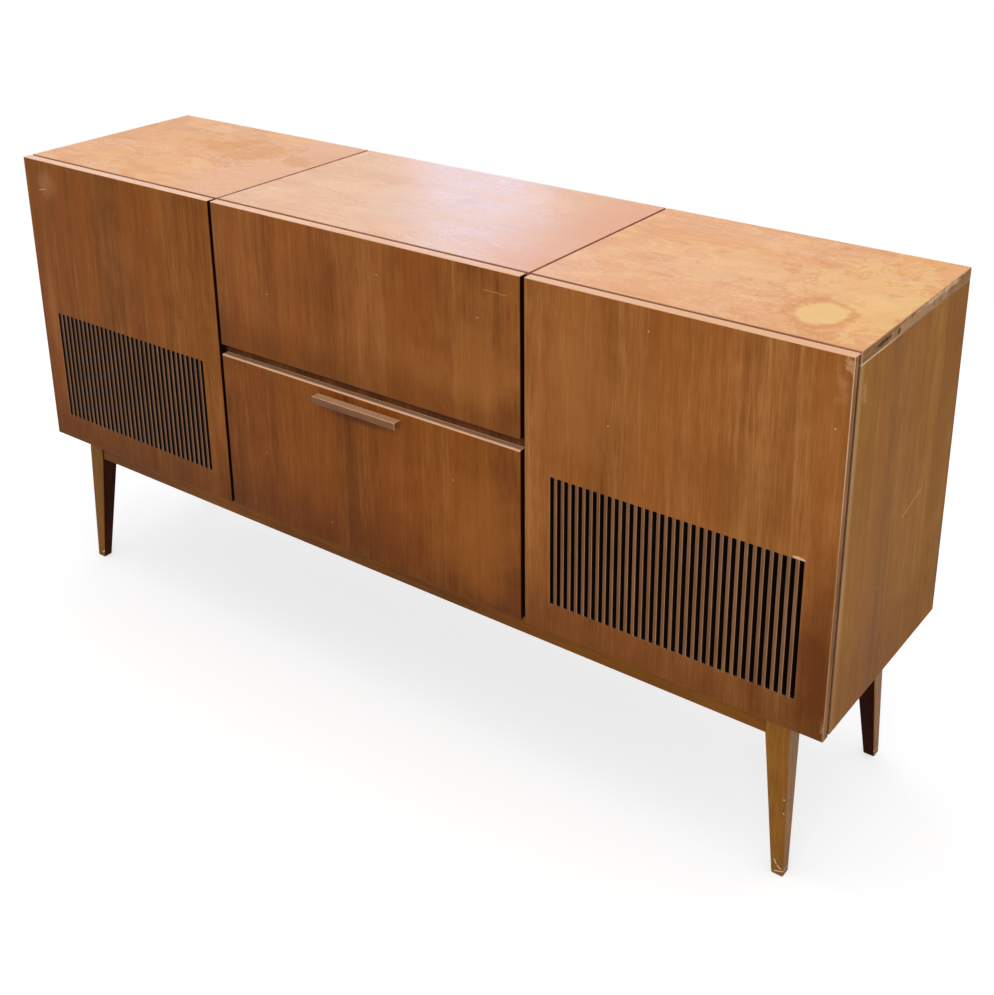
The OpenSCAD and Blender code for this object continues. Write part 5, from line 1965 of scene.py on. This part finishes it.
@dataclass
class Radio:
    """Face plate, dial with its scale, knobs, buttons and chassis.

    Attributes:
        flutes: Number of flutes on a knob.
        dial: Middle of the dial in the plan.
        dial_size: Width and depth of the dial's recess.
        dial_floor: Height of the recess's floor.
        card: Thickness of the card that lies on it.
        slit: Half the length and half the width of the pointer's slit.
        travel: How far the pointer goes to each side.
        scales: Numerals of the two scales, from left to right.
        plate_top: Height of the face plate.
    """

    flutes: int = 36
    dial: tuple[float, float] = (0.2025, 0.0634)
    dial_size: tuple[float, float] = (192 * MM, 108 * MM)
    dial_floor: float = 0.7555
    card: float = 0.16 * MM
    slit: tuple[float, float] = (69.5 * MM, 2.6 * MM)
    travel: float = 66 * MM
    scales: tuple[tuple[str, ...], ...] = (("88", "92", "96", "100", "104", "108"),
                                           ("55", "70", "90", "110", "140", "160"))
    plate_top: float = 0.757

    def knob(self, node: str, body: str) -> None:
        """Build a fluted knob with a turned cap and a mark on its flange.

        Args:
            node: The node that it takes the place of.
            body: The body that carries it.
        """
        low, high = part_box(node)
        middle = (low + high) / 2
        radius = (high.x - low.x) / 2
        start = 12 * MM
        height = high.z - low.z
        grip = radius * 0.8
        profile = [(0.0, 0.0), (3 * MM, 0.0), (3 * MM, start), (radius, start), (radius, start + 2.5 * MM),
                   (grip + 0.6 * MM, start + 4.4 * MM), (grip, start + 5 * MM),
                   (grip * 0.97, height - 1.2 * MM),
                   (grip * 0.97 - 1.2 * MM, height), (grip * 0.6, height), (grip * 0.56, height - 0.5 * MM),
                   (0.0, height - 0.5 * MM)]
        bm = lathe(profile, self.flutes * 4)
        for vertex in bm.verts:
            reach = math.hypot(vertex.co.x, vertex.co.y)
            if vertex.co.z > start + 4.6 * MM and reach > grip * 0.9:
                angle = math.atan2(vertex.co.y, vertex.co.x)
                cut = 0.5 * MM * (0.5 - 0.5 * math.cos(angle * self.flutes))
                vertex.co.x *= (reach - cut) / reach
                vertex.co.y *= (reach - cut) / reach
        move(bm, (middle.x, middle.y, low.z))
        smooth_round(bm, 0.5)
        cap = grip * 0.58
        for face in bm.faces:
            spot = face.calc_center_median()
            inner = math.hypot(spot.x - middle.x, spot.y - middle.y) < cap
            face.material_index = 1 if inner and spot.z > low.z + start + 6 * MM else 0
        add_piece(f"{node}_fluted", bm, [use(CREAM), use(BRASS)], body, "cream_plastic", [node])
        mark = chamfered((middle.x - 0.6 * MM, middle.y + grip * 0.62, high.z - 0.25 * MM),
                         (middle.x + 0.6 * MM, middle.y + grip * 0.88, high.z + 0.08 * MM), 0.05 * MM)
        add_piece(f"{node}_mark", mark, [use(DARK_INK)], body, "cream_plastic")

    def dial_card(self) -> None:
        """Lay the dark card of the dial round the pointer's slit."""
        x, y = self.dial
        wide, deep = (size / 2 - 0.3 * MM for size in self.dial_size)
        long, half = self.slit
        floor, top = self.dial_floor, self.dial_floor + self.card
        parts = [box_geometry(Vector((x + a, y + b, floor)), Vector((x + c, y + d, top)))
                 for a, b, c, d in ((-wide, half, wide, deep), (-wide, -deep, wide, -half),
                                    (-wide, -half, -long, half), (long, -half, wide, half))]
        add_piece("dial_card", joined(parts), [use(DIAL_BACK)], "cabinet", "face_plate")

    def dial_scales(self) -> None:
        """Print the two scales with their ticks and numerals on the card."""
        x, y = self.dial
        low, high = self.dial_floor + self.card, self.dial_floor + 0.22 * MM
        parts = []
        for row, (texts, away) in enumerate(zip(self.scales, (26 * MM, -26 * MM))):
            line = y + away
            parts.append(box_geometry(Vector((x - self.travel, line - 0.3 * MM, low)),
                                      Vector((x + self.travel, line + 0.3 * MM, high))))
            steps = (len(texts) - 1) * 4
            for step in range(steps + 1):
                at = x - self.travel + 2 * self.travel * step / steps
                tick = (4.0 if step % 4 == 0 else 2.2) * MM * (1 if row == 0 else -1)
                ends = sorted((line, line - tick))
                parts.append(box_geometry(Vector((at - 0.25 * MM, ends[0], low)),
                                          Vector((at + 0.25 * MM, ends[1], high))))
            for number, text in enumerate(texts):
                at = x - self.travel + 2 * self.travel * number / (len(texts) - 1)
                beside = line + (8 if row == 0 else -8) * MM
                parts.append(lettering(text, 8 * MM, (at, beside, low + 0.03 * MM)))
        add_piece("dial_scales", joined(parts), [use(INK)], "cabinet", "face_plate")

    def knob_marks(self) -> None:
        """Print dots round the volume and tone knobs, where they turn."""
        parts = []
        for node, start, end in (("volume_knob", 0.0, 300.0), ("tone_knob", -140.0, 140.0)):
            low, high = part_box(node)
            middle, reach = (low + high) / 2, (high.x - low.x) / 2 + 4 * MM
            for step in range(9):
                angle = math.radians(90.0 - (start + (end - start) * step / 8))
                size = (0.9 if step in (0, 4, 8) else 0.55) * MM
                place = (middle.x + reach * math.cos(angle), middle.y + reach * math.sin(angle),
                         self.plate_top)
                parts.append(turned([(0.0, 0.0), (size, 0.0), (size, 0.08 * MM), (0.0, 0.08 * MM)], place,
                                    Axis.UP, 20))
        add_piece("knob_dots", joined(parts), [use(INK)], "cabinet", "face_plate")

    def build(self) -> None:
        """Build and dress the radio."""
        dress("radio_fascia", use(FACE))
        dress("radio_chassis", use(CHASSIS))
        dress("dial_glass", use(DIAL_GLASS))
        dress("dial_pointer", use(RED))
        self.dial_card()
        self.dial_scales()
        for node, body in (("tuning_knob", "tuning"), ("volume_knob", "volume"), ("tone_knob", "tone")):
            self.knob(node, body)
        self.knob_marks()
        for node in ("first_button", "second_button", "third_button"):
            dress(node, use(CREAM))


@dataclass
class Studio:
    """Camera, lamps, floor and backdrop.

    Attributes:
        frame_size: Longer side of the picture in pixels.
        focal: Focal length in pixels.
        shift: Shift of the picture's middle from the lens's axis, down the picture, in pixels.
        eye: Place of the camera.
        rows: Right, down and forward directions of the camera.
        sky: Strength of the light from all round.
        glow: Light that the floor adds where it is seen, which brings it to white.
        white_from: Distances between which the floor fades to plain white.
    """

    frame_size: float = 995.0
    focal: float = 1427.165
    shift: float = 300.0 - 497.5
    eye: Point = (1.53018, -1.84837, 1.62625)
    rows: tuple[Point, Point, Point] = ((0.801164, 0.598367, -0.009601), (0.204623, -0.288979, -0.935211),
                                        (-0.562374, 0.747294, -0.35396))
    sky: float = 0.70
    glow: float = 0.58
    white_from: tuple[float, float] = (1.3, 3.0)

    def camera(self) -> None:
        """Set up the camera as the photograph was taken."""
        data = bpy.data.cameras.new("camera")
        data.lens = self.focal * data.sensor_width / self.frame_size
        data.shift_y = self.shift / self.frame_size
        data.clip_end = 60.0
        camera = bpy.data.objects.new("camera", data)
        bpy.context.scene.collection.objects.link(camera)
        right, down, forward = (Vector(row).normalized() for row in self.rows)
        turn = Matrix((right, -down, -forward)).transposed().to_4x4()
        camera.matrix_world = Matrix.Translation(Vector(self.eye)) @ turn
        bpy.context.scene.camera = camera

    def lamp(self, name: str, place: Point, aim: Point, size: tuple[float, float], power: float,
             colour: tuple[float, float, float] = (1.0, 1.0, 1.0)) -> None:
        """Hang one soft lamp.

        Args:
            name: Name of the lamp.
            place: Where it hangs.
            aim: The point that it faces.
            size: Its width and height.
            power: Its power in watts.
            colour: Its colour.
        """
        data = bpy.data.lights.new(name, "AREA")
        data.shape = "RECTANGLE"
        data.size, data.size_y = size
        data.energy = power
        data.color = colour
        lamp = bpy.data.objects.new(name, data)
        bpy.context.scene.collection.objects.link(lamp)
        lamp.location = place
        lamp.rotation_euler = (Vector(aim) - Vector(place)).to_track_quat("-Z", "Y").to_euler()

    def shine(self, g: Graph, strength: object) -> Socket:
        """Give plain white light of a strength."""
        node = g.add("ShaderNodeEmission")
        node.inputs["Color"].default_value = (1.0, 1.0, 1.0, 1.0)
        g.feed(node.inputs["Strength"], strength)
        return node.outputs[0]

    def floor(self) -> None:
        """Lay a pale floor that shows white round the cabinet and keeps its shadow."""
        g = Graph("pale_floor")
        grain = g.noise(g.stretched(3.0), detail=3.0)
        colour = g.mix(grain, paint(202, 202, 202), paint(205, 205, 205))
        g.finish(colour, 0.9, Specular_IOR_Level=0.0)
        path = g.add("ShaderNodeLightPath")
        seen = g.sum("MAXIMUM", path.outputs["Is Camera Ray"], path.outputs["Is Glossy Ray"])
        added = self.shine(g, g.sum("MULTIPLY", seen, self.glow))
        both = g.add("ShaderNodeAddShader")
        g.feed(both.inputs[0], g.shader.outputs[0])
        g.feed(both.inputs[1], added)
        length = g.add("ShaderNodeVectorMath", operation="LENGTH")
        g.feed(length.inputs[0], g.place)
        away = g.sum("MULTIPLY", seen, g.step(length.outputs["Value"], *self.white_from))
        fade = g.add("ShaderNodeMixShader")
        g.feed(fade.inputs[0], away)
        g.feed(fade.inputs[1], both.outputs[0])
        g.feed(fade.inputs[2], self.shine(g, 1.0))
        g.feed(g.tree.nodes["Material Output"].inputs["Surface"], fade.outputs[0])
        bm = bmesh.new()
        bmesh.ops.create_grid(bm, x_segments=1, y_segments=1, size=30.0)
        piece = bpy.data.objects.new("floor", mesh_from(bm, "floor", [g.material]))
        bpy.context.scene.collection.objects.link(piece)

    def world(self) -> None:
        """Light from all round, white where the camera looks past the floor."""
        world = bpy.data.worlds.new("surroundings")
        world.use_nodes = True
        tree = world.node_tree
        back = tree.nodes["Background"]
        back.inputs["Color"].default_value = (1.0, 1.0, 1.0, 1.0)
        path = tree.nodes.new("ShaderNodeLightPath")
        level = tree.nodes.new("ShaderNodeMapRange")
        level.inputs["To Min"].default_value = 1.0
        level.inputs["To Max"].default_value = self.sky
        tree.links.new(path.outputs["Is Diffuse Ray"], level.inputs["Value"])
        tree.links.new(level.outputs["Result"], back.inputs["Strength"])
        bpy.context.scene.world = world

    def build(self) -> None:
        """Set up camera, lamps, floor and surroundings."""
        self.camera()
        self.floor()
        self.world()
        self.lamp("overhead", (-0.3, 0.2, 3.6), (0.0, 0.0, 0.6), (3.2, 2.2), 24.0, (1.0, 0.98, 0.95))
        self.lamp("window", (-1.67, 2.32, 1.83), (0.10, 0.0, 0.9), (0.5, 1.3), 4.0, (0.16, 0.48, 1.0))
        self.lamp("front_fill", (1.6, -3.0, 1.9), (0.3, 0.0, 0.5), (2.2, 1.6), 28.0)
        view = bpy.context.scene.view_settings
        view.view_transform = "Standard"


def main() -> None:
    """Build the cabinet piece by piece."""
    logging.basicConfig(level=logging.INFO, format="%(name)s: %(message)s")
    Studio().build()
    for part in (Fronts(), Tops(), Sides(), LegFrame(), Carcass(), Loudspeakers(), Fittings(),
                 RecordPlayer(), Radio()):
        LOG.info("building %s", type(part).__name__)
        part.build()


if __name__ == "__main__":
    main()
